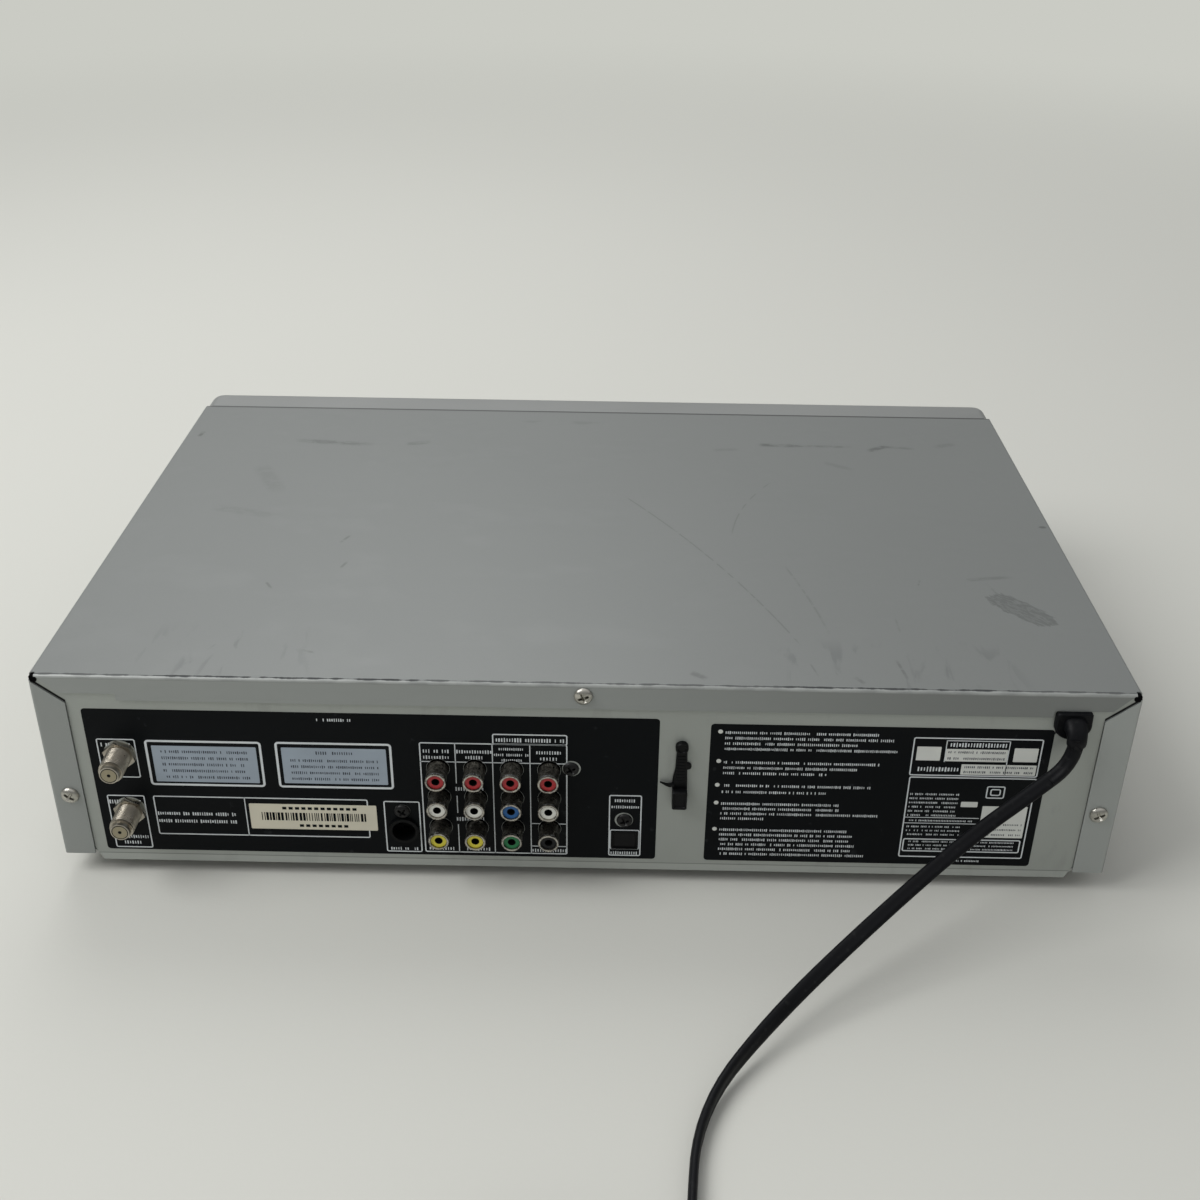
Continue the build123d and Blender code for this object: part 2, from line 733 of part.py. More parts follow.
with BuildPart() as front_bezel:
    block((-half_w, half_w), (front_y, seam_y), (bezel_low_z, case_h))
    plan_edges = front_bezel.edges().filter_by(Axis.Z).group_by(Axis.Y)[0]
    fillet(plan_edges, radius=bezel_plan_r)
    rim_edges = front_bezel.faces().sort_by(Axis.Z)[-1].edges().filter_by(
        lambda edge: edge.center().Y < seam_y - 1.0
    )
    fillet([e for e in rim_edges if e.center().Y < front_y + bezel_plan_r + 1.0], radius=bezel_top_r)
    offset(amount=-bezel_wall, openings=front_bezel.faces().sort_by(Axis.Y)[-1])
    with BuildSketch(at_y(front_y)):
        with Locations((deck_x, (flap_z0 + flap_z1) / 2)):
            Rectangle(flap_w, flap_h)
        with Locations((disc_x, (tray_z0 + tray_z1) / 2)):
            Rectangle(tray_front_w + 0.4, tray_z1 - tray_z0)
        with Locations(((window_x0 + window_x1) / 2, (window_z0 + window_z1) / 2)):
            Rectangle(window_x1 - window_x0, window_z1 - window_z0)
        for key_name, key_x, key_z, this_w, this_h in keys:
            with Locations((key_x, key_z)):
                Rectangle(this_w + 0.6, this_h + 0.6)
        with Locations((power_key_x, key_row_low + 6.0)):
            Circle(power_key_r + 0.3)
        for jack_x in front_phono_x:
            with Locations((jack_x, front_phono_z)):
                Circle(phono_r + 0.3)
    extrude(amount=-bezel_wall - 0.5, mode=Mode.SUBTRACT)
    for ear_x0, ear_x1 in (
        (deck_x - flap_w / 2 - 4.0, deck_x - flap_w / 2),
        (deck_x + flap_w / 2, deck_x + flap_w / 2 + 4.0),
    ):
        block((ear_x0, ear_x1), (bezel_in_y - 0.5, front_y + 5.0), (flap_axis_z - 3.0, flap_axis_z + 2.4))
        rod_x(flap_axis_y, flap_axis_z, ear_x0, ear_x1, flap_pin_r + running_gap, mode=Mode.SUBTRACT)
    for boss_x, boss_z in bezel_bosses:
        rod_y(boss_x, boss_z, bezel_in_y - 0.5, front_board_y, 2.6)
finish(front_bezel.part, "front_bezel")

# Display window, held in the bezel by its rim
with BuildPart() as display_window:
    block(
        (window_x0 + 0.2, window_x1 - 0.2),
        (front_y + 0.2, bezel_in_y),
        (window_z0 + 0.2, window_z1 - 0.2),
    )
    block(
        (window_x0 - 2.0, window_x1 + 2.0),
        (bezel_in_y, bezel_in_y + 1.2),
        (window_z0 - 2.0, window_z1 + 2.0),
    )
finish(display_window.part, "display_window")

# Cassette flap: hangs from two pins at its top edge and swings inwards
with BuildPart() as cassette_flap:
    block(
        (deck_x - flap_w / 2 + 0.3, deck_x + flap_w / 2 - 0.3),
        (flap_axis_y - flap_t / 2, flap_axis_y + flap_t / 2),
        (flap_z0 + 0.3, flap_axis_z),
    )
    rod_x(
        flap_axis_y,
        flap_axis_z,
        deck_x - flap_w / 2 + 0.3,
        deck_x + flap_w / 2 - 0.3,
        flap_t / 2,
    )
    rod_x(flap_axis_y, flap_axis_z, deck_x - flap_w / 2 - 3.0, deck_x + flap_w / 2 + 3.0, flap_pin_r)
    for rib_x in (deck_x - 60.0, deck_x, deck_x + 60.0):
        block(
            (rib_x - 0.6, rib_x + 0.6),
            (flap_axis_y + flap_t / 2, flap_axis_y + flap_t / 2 + 1.0),
            (flap_z0 + 3.0, flap_axis_z - 4.0),
        )
finish(cassette_flap.part, "cassette_flap")

# Front board with a switch behind each button and the display tube behind the window
switch_face = front_y + 7.6
key_stem_end = switch_face - 1.2
with BuildPart() as front_board:
    block(
        (-inner_half + 12.0, inner_half - 12.0),
        (front_board_y, front_board_y + board_t),
        (front_board_z0, front_board_z1),
    )
    for key_x, key_z in [(k[1], k[2]) for k in keys[:5]] + [(power_key_x, key_row_low + 6.0)]:
        block((key_x - 3.0, key_x + 3.0), (switch_face + 1.2, front_board_y), (key_z - 3.0, key_z + 3.0))
        rod_y(key_x, key_z, switch_face, switch_face + 1.2, 1.5)
    block(
        (window_x0 + 12.0, window_x1 - 20.0),
        (bezel_in_y + 3.0, front_board_y),
        (window_z0 + 1.0, window_z1 - 2.0),
    )
    for jack_x in front_phono_x:
        block(
            (jack_x - 6.0, jack_x + 6.0),
            (bezel_in_y + 2.5, front_board_y),
            (front_phono_z - 7.0, front_phono_z + 7.0),
        )
    tray_key_x = keys[5][1]
    tray_key_z = keys[5][2]
    block(
        (tray_key_x - 9.0, tray_key_x + 9.0),
        (front_board_y, front_board_y + board_t),
        (front_board_z1 - 1.0, tray_key_z + 4.0),
    )
    block(
        (tray_key_x - 3.0, tray_key_x + 3.0),
        (switch_face + 1.2, front_board_y),
        (tray_key_z - 3.0, tray_key_z + 3.0),
    )
    rod_y(tray_key_x, tray_key_z, switch_face, switch_face + 1.2, 1.5)
finish(front_board.part, "front_board")

# Buttons: a proud cap, a flange that keeps it behind the bezel and a stem to the switch
key_flange_y = bezel_in_y + seat_gap
for key_name, key_x, key_z, this_w, this_h in keys:
    with BuildPart() as button:
        block(
            (key_x - this_w / 2, key_x + this_w / 2),
            (front_y - button_proud, key_flange_y),
            (key_z - this_h / 2, key_z + this_h / 2),
        )
        cap_face = button.faces().sort_by(Axis.Y)[0]
        chamfer(cap_face.edges(), length=0.5)
        block(
            (key_x - this_w / 2 - 1.3, key_x + this_w / 2 + 1.3),
            (key_flange_y, key_flange_y + 1.2),
            (key_z - this_h / 2 - 1.3, key_z + this_h / 2 + 1.3),
        )
        rod_y(key_x, key_z, key_flange_y + 1.0, key_stem_end, 2.0)
    finish(button.part, key_name)

with BuildPart() as power_button:
    with BuildSketch(at_y(key_flange_y)):
        with Locations((power_key_x, key_row_low + 6.0)):
            Circle(power_key_r)
    extrude(amount=key_flange_y - front_y + button_proud)
    chamfer(power_button.faces().sort_by(Axis.Y)[0].edges(), length=0.6)
    rod_y(power_key_x, key_row_low + 6.0, key_flange_y, key_flange_y + 1.2, power_key_r + 1.3)
    rod_y(power_key_x, key_row_low + 6.0, key_flange_y + 1.0, key_stem_end, 2.0)
finish(power_button.part, "power_button")

# Main board with the jack blocks, chips and capacitors that stand on it
with BuildPart() as main_board:
    block((board_x0, board_x1), (board_y0, board_y1), (board_z, board_top))
    for block_x in phono_columns:
        block(
            (block_x - 6.4, block_x + 6.4),
            (board_y1 - 10.0, panel_in),
            (board_top, phono_rows[0] + 6.5),
        )
    block((svideo_x - 6.6, svideo_x + 6.6), (board_y1 - 8.0, panel_in - 12.0), (board_top, svideo_z + 6.5))
    for chip_x, chip_y, chip_w in ((110.0, 22.0, 24.0), (145.0, 26.0, 18.0), (70.0, 20.0, 20.0)):
        block(
            (chip_x - chip_w / 2, chip_x + chip_w / 2),
            (board_y0 + chip_y - chip_w / 2, board_y0 + chip_y + chip_w / 2),
            (board_top, board_top + 2.4),
        )
    for cap_x in (94.0, 106.0, 118.0, 130.0):
        post(cap_x, board_y1 - 8.0, board_top, board_top + 12.0, 4.0)
finish(main_board.part, "main_board")

# Power board: transformer, mains capacitor, heat sink and smoothing capacitors
power_mid = (power_x0 + power_x1) / 2
with BuildPart() as power_board:
    block((power_x0, power_x1), (power_y0, power_y1), (board_z, board_top))
    for core_half, core_z in ((15.0, 0.0), (19.0, 9.0), (15.0, 17.0)):
        block(
            (power_mid - 36.0 + core_half, power_mid + 30.0 - core_half),
            (power_y0 + 41.0 - core_half, power_y0 + 41.0 + core_half),
            (board_top + core_z, board_top + core_z + 9.0),
        )
    for fin in range(6):
        block(
            (power_x1 - 6.0 - 2.6 * fin - 1.0, power_x1 - 6.0 - 2.6 * fin),
            (power_y0 + 64.0, power_y0 + 70.0),
            (board_top, board_top + 22.0),
        )
    block(
        (power_x1 - 21.0, power_x1 - 6.0),
        (power_y0 + 69.0, power_y0 + 70.6),
        (board_top, board_top + 22.0),
    )
    post(power_x0 + 14.0, power_y0 + 12.0, board_top, board_top + 24.0, 8.0)
    post(power_x0 + 33.0, power_y0 + 11.0, board_top, board_top + 16.0, 5.0)
    block(
        (power_x0 + 6.0, power_x0 + 24.0),
        (power_y1 - 16.0, power_y1 - 6.0),
        (board_top, board_top + 15.0),
    )
finish(power_board.part, "power_board")

# Tape deck, placed from the drum back and front
deck_y0 = seam_y + 11.0
drum_y = rear_y - drum_from_rear
deck_y1 = drum_y + 36.0
cradle_in = cassette_w / 2 + 0.8
cradle_out = cradle_in + basket_wall
runner_in = cradle_out + 1.3
runner_out = runner_in + 1.2
bracket_in = runner_out + 1.3
bracket_out = bracket_in + 1.4
basket_y0 = seam_y + 17.0
basket_y1 = basket_y0 + basket_depth
basket_travel = drum_y - 56.0 - basket_y1
basket_z0 = flap_z0 - 1.7
basket_z1 = flap_z1 - 1.0
reel_y = drum_y - 128.0
arm_y = drum_y - 42.0
arm_x = arm_pitch_r
capstan_x = deck_x + 69.0
capstan_y = drum_y - 38.0
pinch_x = deck_x + 87.0
pinch_y = drum_y - 14.0
arm_gear_z = deck_z - 5.0
deck_wide_y = arm_y + 6.0
deck_left_rear = power_x1 + 4.0
deck_legs = (
    (deck_x - deck_half + 12.0, deck_y0 + 12.0),
    (deck_x - deck_half + 12.0, deck_wide_y - 8.0),
    (deck_x + deck_half - 5.0, deck_y0 + 12.0),
    (deck_x + deck_half - 5.0, board_y0 - 12.0),
    (deck_left_rear + 7.0, deck_y1 - 7.0),
    (board_x0 - 32.0, deck_y1 - 7.0),
)
with BuildPart() as deck_plate:
    with BuildSketch(Plane.XY.offset(deck_z)):
        with BuildLine():
            Polyline(
                (deck_x - deck_half - 2.0, deck_y0),
                (deck_x + deck_half + 1.6, deck_y0),
                (deck_x + deck_half + 1.6, deck_y1),
                (deck_left_rear, deck_y1),
                (deck_left_rear, deck_wide_y),
                (deck_x - deck_half - 2.0, deck_wide_y),
                close=True,
            )
        make_face()
        for side in (-1, 1):
            with Locations((deck_x + side * arm_x, arm_y)):
                Circle(4.0 + running_gap, mode=Mode.SUBTRACT)
            with Locations((deck_x + side * 62.0, reel_y - 44.0)):
                SlotOverall(44.0, 14.0, mode=Mode.SUBTRACT)
        with Locations((deck_x, reel_y + 6.0)):
            RectangleRounded(34.0, 60.0, 6.0, mode=Mode.SUBTRACT)
    extrude(amount=deck_sheet)
    for leg_x, leg_y in deck_legs:
        block((leg_x - 0.8, leg_x + 0.8), (leg_y - 6.0, leg_y + 6.0), (floor_z, deck_z))
        block((leg_x - 5.0, leg_x + 5.0), (leg_y - 6.0, leg_y + 6.0), (floor_z, floor_z + 1.5))
    post(capstan_x, capstan_y, deck_top, deck_top + 3.6, 5.0)
    post(capstan_x, capstan_y, deck_z, deck_top + 3.6, capstan_r + running_gap, mode=Mode.SUBTRACT)
    post(pinch_x, pinch_y, deck_top, deck_top + 8.5, 2.5)
    for side in (-1, 1):
        post(deck_x + side * reel_pitch / 2, reel_y, deck_top, deck_top + 22.0, 2.0)
        post(deck_x + side * reel_pitch / 2, reel_y, deck_top, deck_top + 1.2, 6.0)
finish(deck_plate.part, "deck_plate")

# Carriage frame: side plates with the guide slots for the runner and the basket
stud_y = (basket_y0 + 12.0, basket_y1 - 12.0)
pin_z = basket_z0 + 6.0
runner_z0 = pin_z - basket_drop - 4.0
rail_z = runner_z0 + 7.0
bracket_y1 = drum_y - 40.0
frame_top = basket_z1 + 4.8
with BuildPart() as carriage_frame:
    for side in (-1, 1):
        inner_x = deck_x + side * bracket_in
        outer_x = deck_x + side * bracket_out
        low_x = min(inner_x, outer_x)
        high_x = max(inner_x, outer_x)
        block((low_x, high_x), (deck_y0, bracket_y1), (deck_top, frame_top))
        for this_y in stud_y:
            block(
                (low_x, high_x),
                (this_y - 2.8, this_y + basket_travel + 2.8),
                (rail_z - 2.8, rail_z + 2.8),
                mode=Mode.SUBTRACT,
            )
        block(
            (low_x, high_x),
            (basket_y0 + 21.7, basket_y0 + basket_travel + 26.3),
            (pin_z + 2.0, pin_z + 8.0),
            mode=Mode.SUBTRACT,
        )
        foot_in = deck_x + side * bracket_in
        foot_out = deck_x + side * (bracket_out + 2.6)
        block(
            (min(foot_in, foot_out), max(foot_in, foot_out)),
            (deck_y0 + 6.0, deck_y0 + 22.0),
            (deck_top, deck_top + 1.4),
        )
    for bar_y0, bar_y1 in ((deck_y0, deck_y0 + 10.0), (bracket_y1 - 10.0, bracket_y1)):
        block(
            (deck_x - bracket_out, deck_x + bracket_out),
            (bar_y0, bar_y1),
            (frame_top - 1.2, frame_top),
        )
finish(carriage_frame.part, "carriage_frame")

# Carriage runner: slides along the frame on studs and carries the basket in its upright slots
runner_z1 = basket_z1 + 2.8
with BuildPart() as carriage_runner:
    for side in (-1, 1):
        low_x = min(deck_x + side * runner_in, deck_x + side * runner_out)
        high_x = max(deck_x + side * runner_in, deck_x + side * runner_out)
        block((low_x, high_x), (basket_y0 + 8.0, basket_y1 - 4.0), (runner_z0, runner_z1))
        for this_y in (basket_y0 + 24.0, basket_y1 - 24.0):
            block(
                (low_x, high_x),
                (this_y - 2.3, this_y + 2.3),
                (pin_z - basket_drop - 2.3, pin_z + 2.3),
                mode=Mode.SUBTRACT,
            )
        for this_y in stud_y:
            stud_ends = sorted((deck_x + side * (runner_out - 0.4), deck_x + side * (bracket_out + 0.8)))
            rod_x(this_y, rail_z, stud_ends[0], stud_ends[1], 2.5)
    block(
        (deck_x - runner_out, deck_x + runner_out),
        (basket_y1 - 30.0, basket_y1 - 20.0),
        (runner_z1 - 1.2, runner_z1),
    )
finish(carriage_runner.part, "carriage_runner")

# Cassette basket: an open-bottomed holder with side ledges, a sprung roof and rear stops
with BuildPart() as cassette_basket:
    with BuildSketch(at_y(basket_y1)):
        with Locations((deck_x, (basket_z0 + basket_z1) / 2)):
            Rectangle(2 * cradle_out, basket_z1 - basket_z0)
        with Locations((deck_x, (basket_z0 + basket_z1) / 2)):
            Rectangle(2 * cradle_in, basket_z1 - basket_z0 - 2 * basket_wall, mode=Mode.SUBTRACT)
        with Locations((deck_x, basket_z0)):
            Rectangle(2 * (cradle_in - 13.0), 4 * basket_wall, mode=Mode.SUBTRACT)
    extrude(amount=basket_depth)
    for side in (-1, 1):
        stop_in = deck_x + side * (cradle_in - 13.0)
        stop_out = deck_x + side * cradle_out
        block(
            (min(stop_in, stop_out), max(stop_in, stop_out)),
            (basket_y1 - basket_wall, basket_y1),
            (basket_z0, basket_z0 + 16.0),
        )
        for this_y in (basket_y0 + 24.0, basket_y1 - 24.0):
            pin_ends = sorted((deck_x + side * (cradle_out - 0.2), deck_x + side * (runner_out + 0.4)))
            rod_x(this_y, pin_z, pin_ends[0], pin_ends[1], 2.0)
        with BuildSketch(Plane.XY.offset(basket_z1 - basket_wall)):
            with Locations((deck_x + side * 48.0, basket_y0 + 34.0)):
                Rectangle(9.0, 46.0)
                with Locations((0, -3.0)):
                    Rectangle(6.0, 44.0, mode=Mode.SUBTRACT)
        extrude(amount=basket_wall, mode=Mode.SUBTRACT)
finish(cassette_basket.part, "cassette_basket")

# Drum: a leaning fixed base and a head drum that turns on the same leaning shaft
drum_plane = Plane(
    origin=(deck_x, drum_y, deck_top),
    x_dir=(1, 0, 0),
    z_dir=(0, -sin(radians(drum_tilt)), cos(radians(drum_tilt))),
)
drum_split = 17.0
drum_top = 30.0
with BuildPart() as drum_base:
    with BuildSketch(drum_plane.offset(-4.0)):
        Circle(drum_r)
    extrude(amount=drum_split + 4.0)
    with BuildSketch(drum_plane.offset(drum_split - 1.0)):
        Circle(2.5)
    extrude(amount=drum_top - drum_split - 1.0)
    post(deck_x, drum_y, deck_top, deck_top + 4.0, drum_r + 1.5)
    with BuildSketch(Plane.XY.offset(deck_top)):
        with Locations((deck_x, drum_y)):
            with PolarLocations(drum_r + 3.5, 3, start_angle=90):
                Circle(4.0)
    extrude(amount=1.6)
    post(deck_x, drum_y, deck_top - 12.0, deck_top, drum_r + 10.0, mode=Mode.SUBTRACT)
finish(drum_base.part, "drum_base")

with BuildPart() as head_drum:
    with BuildSketch(drum_plane.offset(drum_split + seat_gap)):
        Circle(drum_r)
        Circle(2.5 + running_gap, mode=Mode.SUBTRACT)
    extrude(amount=drum_top - drum_split - seat_gap)
    with BuildSketch(drum_plane.offset(drum_top - 4.0)):
        Circle(drum_r - 5.0)
        Circle(9.0, mode=Mode.SUBTRACT)
    extrude(amount=5.0, mode=Mode.SUBTRACT)
    with BuildSketch(drum_plane.offset(drum_split)):
        with PolarLocations(drum_r, 4, start_angle=45):
            Rectangle(3.0, 4.0)
    extrude(amount=3.0, mode=Mode.SUBTRACT)
finish(head_drum.part, "head_drum")

# Capstan with its flywheel below the deck plate
with BuildPart() as capstan:
    post(capstan_x, capstan_y, floor_z + 3.0, deck_top + 30.0, capstan_r)
    post(capstan_x, capstan_y, floor_z + 2.2, floor_z + 9.0, flywheel_r)
    with BuildSketch(Plane.XY.offset(floor_z + 6.0)):
        with Locations((capstan_x, capstan_y)):
            Circle(flywheel_r - 3.0)
            Circle(7.0, mode=Mode.SUBTRACT)
    extrude(amount=4.0, mode=Mode.SUBTRACT)
finish(capstan.part, "capstan")

# Pinch arm and its roller, swung clear of the capstan
pinch_reach = 21.6
pinch_rest = radians(-101.7)
roller_x = pinch_x + pinch_reach * cos(pinch_rest)
roller_y = pinch_y + pinch_reach * sin(pinch_rest)
with BuildPart() as pinch_arm:
    with BuildSketch(Plane.XY.offset(deck_top + seat_gap)):
        with Locations((pinch_x, pinch_y)):
            Circle(5.0)
    extrude(amount=6.5)
    with BuildSketch(Plane.XY.offset(deck_top + 4.0)):
        with Locations(((pinch_x + roller_x) / 2, (pinch_y + roller_y) / 2)):
            SlotCenterToCenter(pinch_reach, 8.0, rotation=degrees(pinch_rest))
    extrude(amount=2.4)
    post(roller_x, roller_y, deck_top + 6.0, deck_top + 27.0, 1.5)
    post(pinch_x, pinch_y, deck_top, deck_top + 12.0, 2.5 + running_gap, mode=Mode.SUBTRACT)
finish(pinch_arm.part, "pinch_arm")

with BuildPart() as pinch_roller:
    post(roller_x, roller_y, deck_top + 8.7, deck_top + 25.0, pinch_r)
    post(roller_x, roller_y, deck_top + 8.0, deck_top + 26.0, 1.5 + running_gap, mode=Mode.SUBTRACT)
finish(pinch_roller.part, "pinch_roller")

# Reel tables with a splined hub each
for side, reel_name in ((-1, "supply_reel"), (1, "takeup_reel")):
    reel_x = deck_x + side * reel_pitch / 2
    with BuildPart() as reel:
        post(reel_x, reel_y, deck_top + 1.5, deck_top + 5.0, reel_r)
        post(reel_x, reel_y, deck_top + 5.0, deck_top + 21.0, 6.0)
        with BuildSketch(Plane.XY.offset(deck_top + 5.0)):
            with Locations((reel_x, reel_y)):
                with PolarLocations(6.4, 6):
                    Rectangle(3.4, 1.8)
        extrude(amount=14.0)
        post(reel_x, reel_y, deck_top, deck_top + 24.0, 2.0 + running_gap, mode=Mode.SUBTRACT)
    finish(reel.part, reel_name)

# Loading arms: each turns with a gear below the deck plate, and the two gears mesh
arm_rest = radians(-99.6)
arm_module = 2 * arm_pitch_r / arm_teeth
for side, arm_name in ((-1, "loading_arm_left"), (1, "loading_arm_right")):
    hub_x = deck_x + side * arm_x
    end_x = hub_x + side * arm_reach * cos(arm_rest)
    end_y = arm_y + arm_reach * sin(arm_rest)
    gear_turn = 0.0 if side < 0 else pi + pi / arm_teeth
    with BuildPart() as arm:
        with BuildSketch(Plane(origin=(hub_x, arm_y, arm_gear_z), x_dir=(1, 0, 0), z_dir=(0, 0, 1))):
            with BuildLine():
                Polyline(gear_points(arm_teeth, arm_pitch_r, arm_module, gear_turn), close=True)
            make_face()
            with PolarLocations(14.0, 5):
                Circle(4.5, mode=Mode.SUBTRACT)
        extrude(amount=3.0)
        post(hub_x, arm_y, arm_gear_z + 3.0, deck_top + 1.0, 4.0)
        post(hub_x, arm_y, deck_top + seat_gap, deck_top + 4.0, 6.0)
        with BuildSketch(Plane.XY.offset(deck_top + 2.0)):
            with Locations(((hub_x + end_x) / 2, (arm_y + end_y) / 2)):
                SlotCenterToCenter(arm_reach, 6.0, rotation=side * degrees(arm_rest))
        extrude(amount=2.0)
        post(end_x, end_y, deck_top + 3.0, deck_top + 20.0, 2.0)
        post(end_x, end_y, deck_top + 3.0, deck_top + 6.0, 3.0)
        post(end_x, end_y, deck_top + 18.5, deck_top + 20.0, 3.0)
    finish(arm.part, arm_name)

# Tape heads and fixed guides beside the drum
with BuildPart() as tape_heads:
    for head_x, head_y in ((deck_x - 69.0, drum_y - 42.0), (deck_x + 53.0, drum_y - 8.0)):
        post(head_x, head_y, deck_top, deck_top + 5.0, 3.0)
        block((head_x - 4.0, head_x + 4.0), (head_y - 5.0, head_y + 5.0), (deck_top + 5.0, deck_top + 21.0))
        head_edges = tape_heads.edges().filter_by(Axis.Z)
        fillet(head_edges.filter_by_position(Axis.X, head_x - 4.1, head_x - 3.9), 1.2)
    for guide_x, guide_y in ((deck_x + 62.0, drum_y + 6.0), (deck_x - 66.0, drum_y - 52.0)):
        post(guide_x, guide_y, deck_top, deck_top + 22.0, 1.8)
        post(guide_x, guide_y, deck_top, deck_top + 4.0, 3.0)
        post(guide_x, guide_y, deck_top + 20.0, deck_top + 22.0, 3.0)
finish(tape_heads.part, "tape_heads")

# Disc loader, placed from the front
loader_y0 = seam_y + 2.0
loader_y1 = loader_y0 + loader_d
tray_low = tray_z0 + 1.0
tray_high = tray_low + tray_t
tray_half = tray_w / 2
frame_z0 = tray_high + 4.5 - loader_h
frame_z1 = tray_high + 4.5
disc_y = front_y + tray_front_t + 12.0 + disc_r + 1.5
pinion_y = loader_y0 + 14.0
pinion_x = disc_x - tray_half + rack_module - pinion_r
pinion_low = tray_low + 0.3
traverse_half = 48.0
hinge_y = loader_y1 - 14.0
hinge_z = frame_z0 + 12.0
bridge_z = frame_z1 + 2.2
with BuildPart() as loader_frame:
    for side in (-1, 1):
        low_x = min(disc_x + side * guide_half, disc_x + side * loader_out)
        high_x = max(disc_x + side * guide_half, disc_x + side * loader_out)
        block((low_x, high_x), (loader_y0, loader_y1), (frame_z0, frame_z1))
        ledge = sorted((disc_x + side * (guide_half - 4.4), disc_x + side * guide_half))
        hold = sorted((disc_x + side * (guide_half - 3.4), disc_x + side * (guide_half + 0.5)))
        block((ledge[0], ledge[1]), (loader_y0, loader_y1), (tray_low - 1.8, tray_low - 0.3))
        block(
            (hold[0], hold[1]),
            (loader_y0 + 40.0, loader_y0 + 52.0),
            (tray_high + 0.3, tray_high + 2.0),
        )
        block((ledge[0], ledge[1]), (loader_y0, loader_y1), (frame_z0, frame_z0 + 2.5))
        hinge_in = disc_x + side * (traverse_half + 2.5)
        hinge_out = disc_x + side * (traverse_half + 6.0)
        block(
            (min(hinge_in, hinge_out), max(hinge_in, hinge_out)),
            (hinge_y - 4.0, hinge_y + 4.0),
            (frame_z0 + 1.0, hinge_z + 4.0),
        )
        for leg_y in (loader_y0 + 9.0, loader_y1 - 8.0):
            post(disc_x + side * (guide_half - 1.0), leg_y, floor_z, frame_z0 + 1.0, 4.0)
    for bar_y0, bar_y1, bar_top in (
        (loader_y1 - 2.5, loader_y1, tray_low - 1.8),
        (loader_y1 - 18.0, loader_y1, frame_z0 + 2.5),
        (loader_y0, loader_y0 + 14.0, frame_z0 + 2.5),
    ):
        block((disc_x - guide_half, disc_x + guide_half), (bar_y0, bar_y1), (frame_z0, bar_top))
    block(
        (disc_x - loader_out - 0.1, disc_x - guide_half + 0.1),
        (pinion_y - pinion_r - 2.0, pinion_y + pinion_r + 2.0),
        (tray_low - 0.2, tray_high),
        mode=Mode.SUBTRACT,
    )
    block(
        (pinion_x - 5.0, disc_x - loader_out + 0.5),
        (pinion_y - 6.0, pinion_y + 6.0),
        (tray_low - 12.0, pinion_low - 0.3),
    )
    post(pinion_x, pinion_y, pinion_low - 1.0, pinion_low + 4.5, 2.0)
    for side in (-1, 1):
        hinge_in = disc_x + side * (traverse_half + 2.0)
        hinge_out = disc_x + side * (traverse_half + 7.0)
        rod_x(
            hinge_y,
            hinge_z,
            min(hinge_in, hinge_out),
            max(hinge_in, hinge_out),
            2.0 + running_gap,
            mode=Mode.SUBTRACT,
        )
finish(loader_frame.part, "loader_frame")

# Disc tray with two disc recesses, a slot open to the rear and a rack along one edge
tray_y0 = front_y + tray_front_t
tray_y1 = tray_y0 + tray_l
slot_half = turntable_r + 6.0
rack_pitch = pi * rack_module
rack_x = disc_x - tray_half
rack_low = -0.2
rack_count = int((tray_travel + 8.0) / rack_pitch)
with BuildPart() as disc_tray:
    block((disc_x - tray_half, disc_x + tray_half), (tray_y0, tray_y1), (tray_low, tray_high))
    post(disc_x, disc_y, tray_high - 2.6, tray_high, disc_r + 0.4, mode=Mode.SUBTRACT)
    post(disc_x, disc_y, tray_high - 3.8, tray_high - 2.6, disc_r - 19.5, mode=Mode.SUBTRACT)
    post(disc_x, disc_y, tray_low, tray_high, slot_half, mode=Mode.SUBTRACT)
    block(
        (disc_x - slot_half, disc_x + slot_half),
        (disc_y, tray_y1),
        (tray_low, tray_high),
        mode=Mode.SUBTRACT,
    )
    with BuildSketch(Plane.XY.offset(tray_low)):
        with BuildLine():
            rack_points = [(rack_x + rack_low - 2.0, pinion_y - 3.0 * rack_pitch)]
            for tooth in range(-2, rack_count + 2):
                root_y = pinion_y + (tooth - 0.5) * rack_pitch
                rack_points += [
                    (rack_x + rack_low, root_y - 0.35 * rack_pitch),
                    (rack_x + 2.25 * rack_module, root_y - 0.17 * rack_pitch),
                    (rack_x + 2.25 * rack_module, root_y + 0.17 * rack_pitch),
                    (rack_x + rack_low, root_y + 0.35 * rack_pitch),
                ]
            rack_points.append((rack_x + rack_low - 2.0, pinion_y + (rack_count + 2) * rack_pitch))
            Polyline(rack_points, close=True)
        make_face()
    extrude(amount=tray_t / 2, mode=Mode.SUBTRACT)
finish(disc_tray.part, "disc_tray")

with BuildPart() as tray_front:
    block(
        (disc_x - tray_front_w / 2, disc_x + tray_front_w / 2),
        (front_y, tray_y0),
        ((tray_z0 + tray_z1 - tray_front_h) / 2, (tray_z0 + tray_z1 + tray_front_h) / 2),
    )
    chamfer(tray_front.faces().sort_by(Axis.Y)[0].edges(), length=0.7)
finish(tray_front.part, "tray_front")

with BuildPart() as tray_gear:
    with BuildSketch(Plane(origin=(pinion_x, pinion_y, pinion_low), x_dir=(1, 0, 0), z_dir=(0, 0, 1))):
        with BuildLine():
            Polyline(gear_points(pinion_teeth, pinion_r, rack_module, pi / pinion_teeth), close=True)
        make_face()
        Circle(2.0 + running_gap, mode=Mode.SUBTRACT)
    extrude(amount=tray_t / 2 - 0.8)
finish(tray_gear.part, "tray_gear")

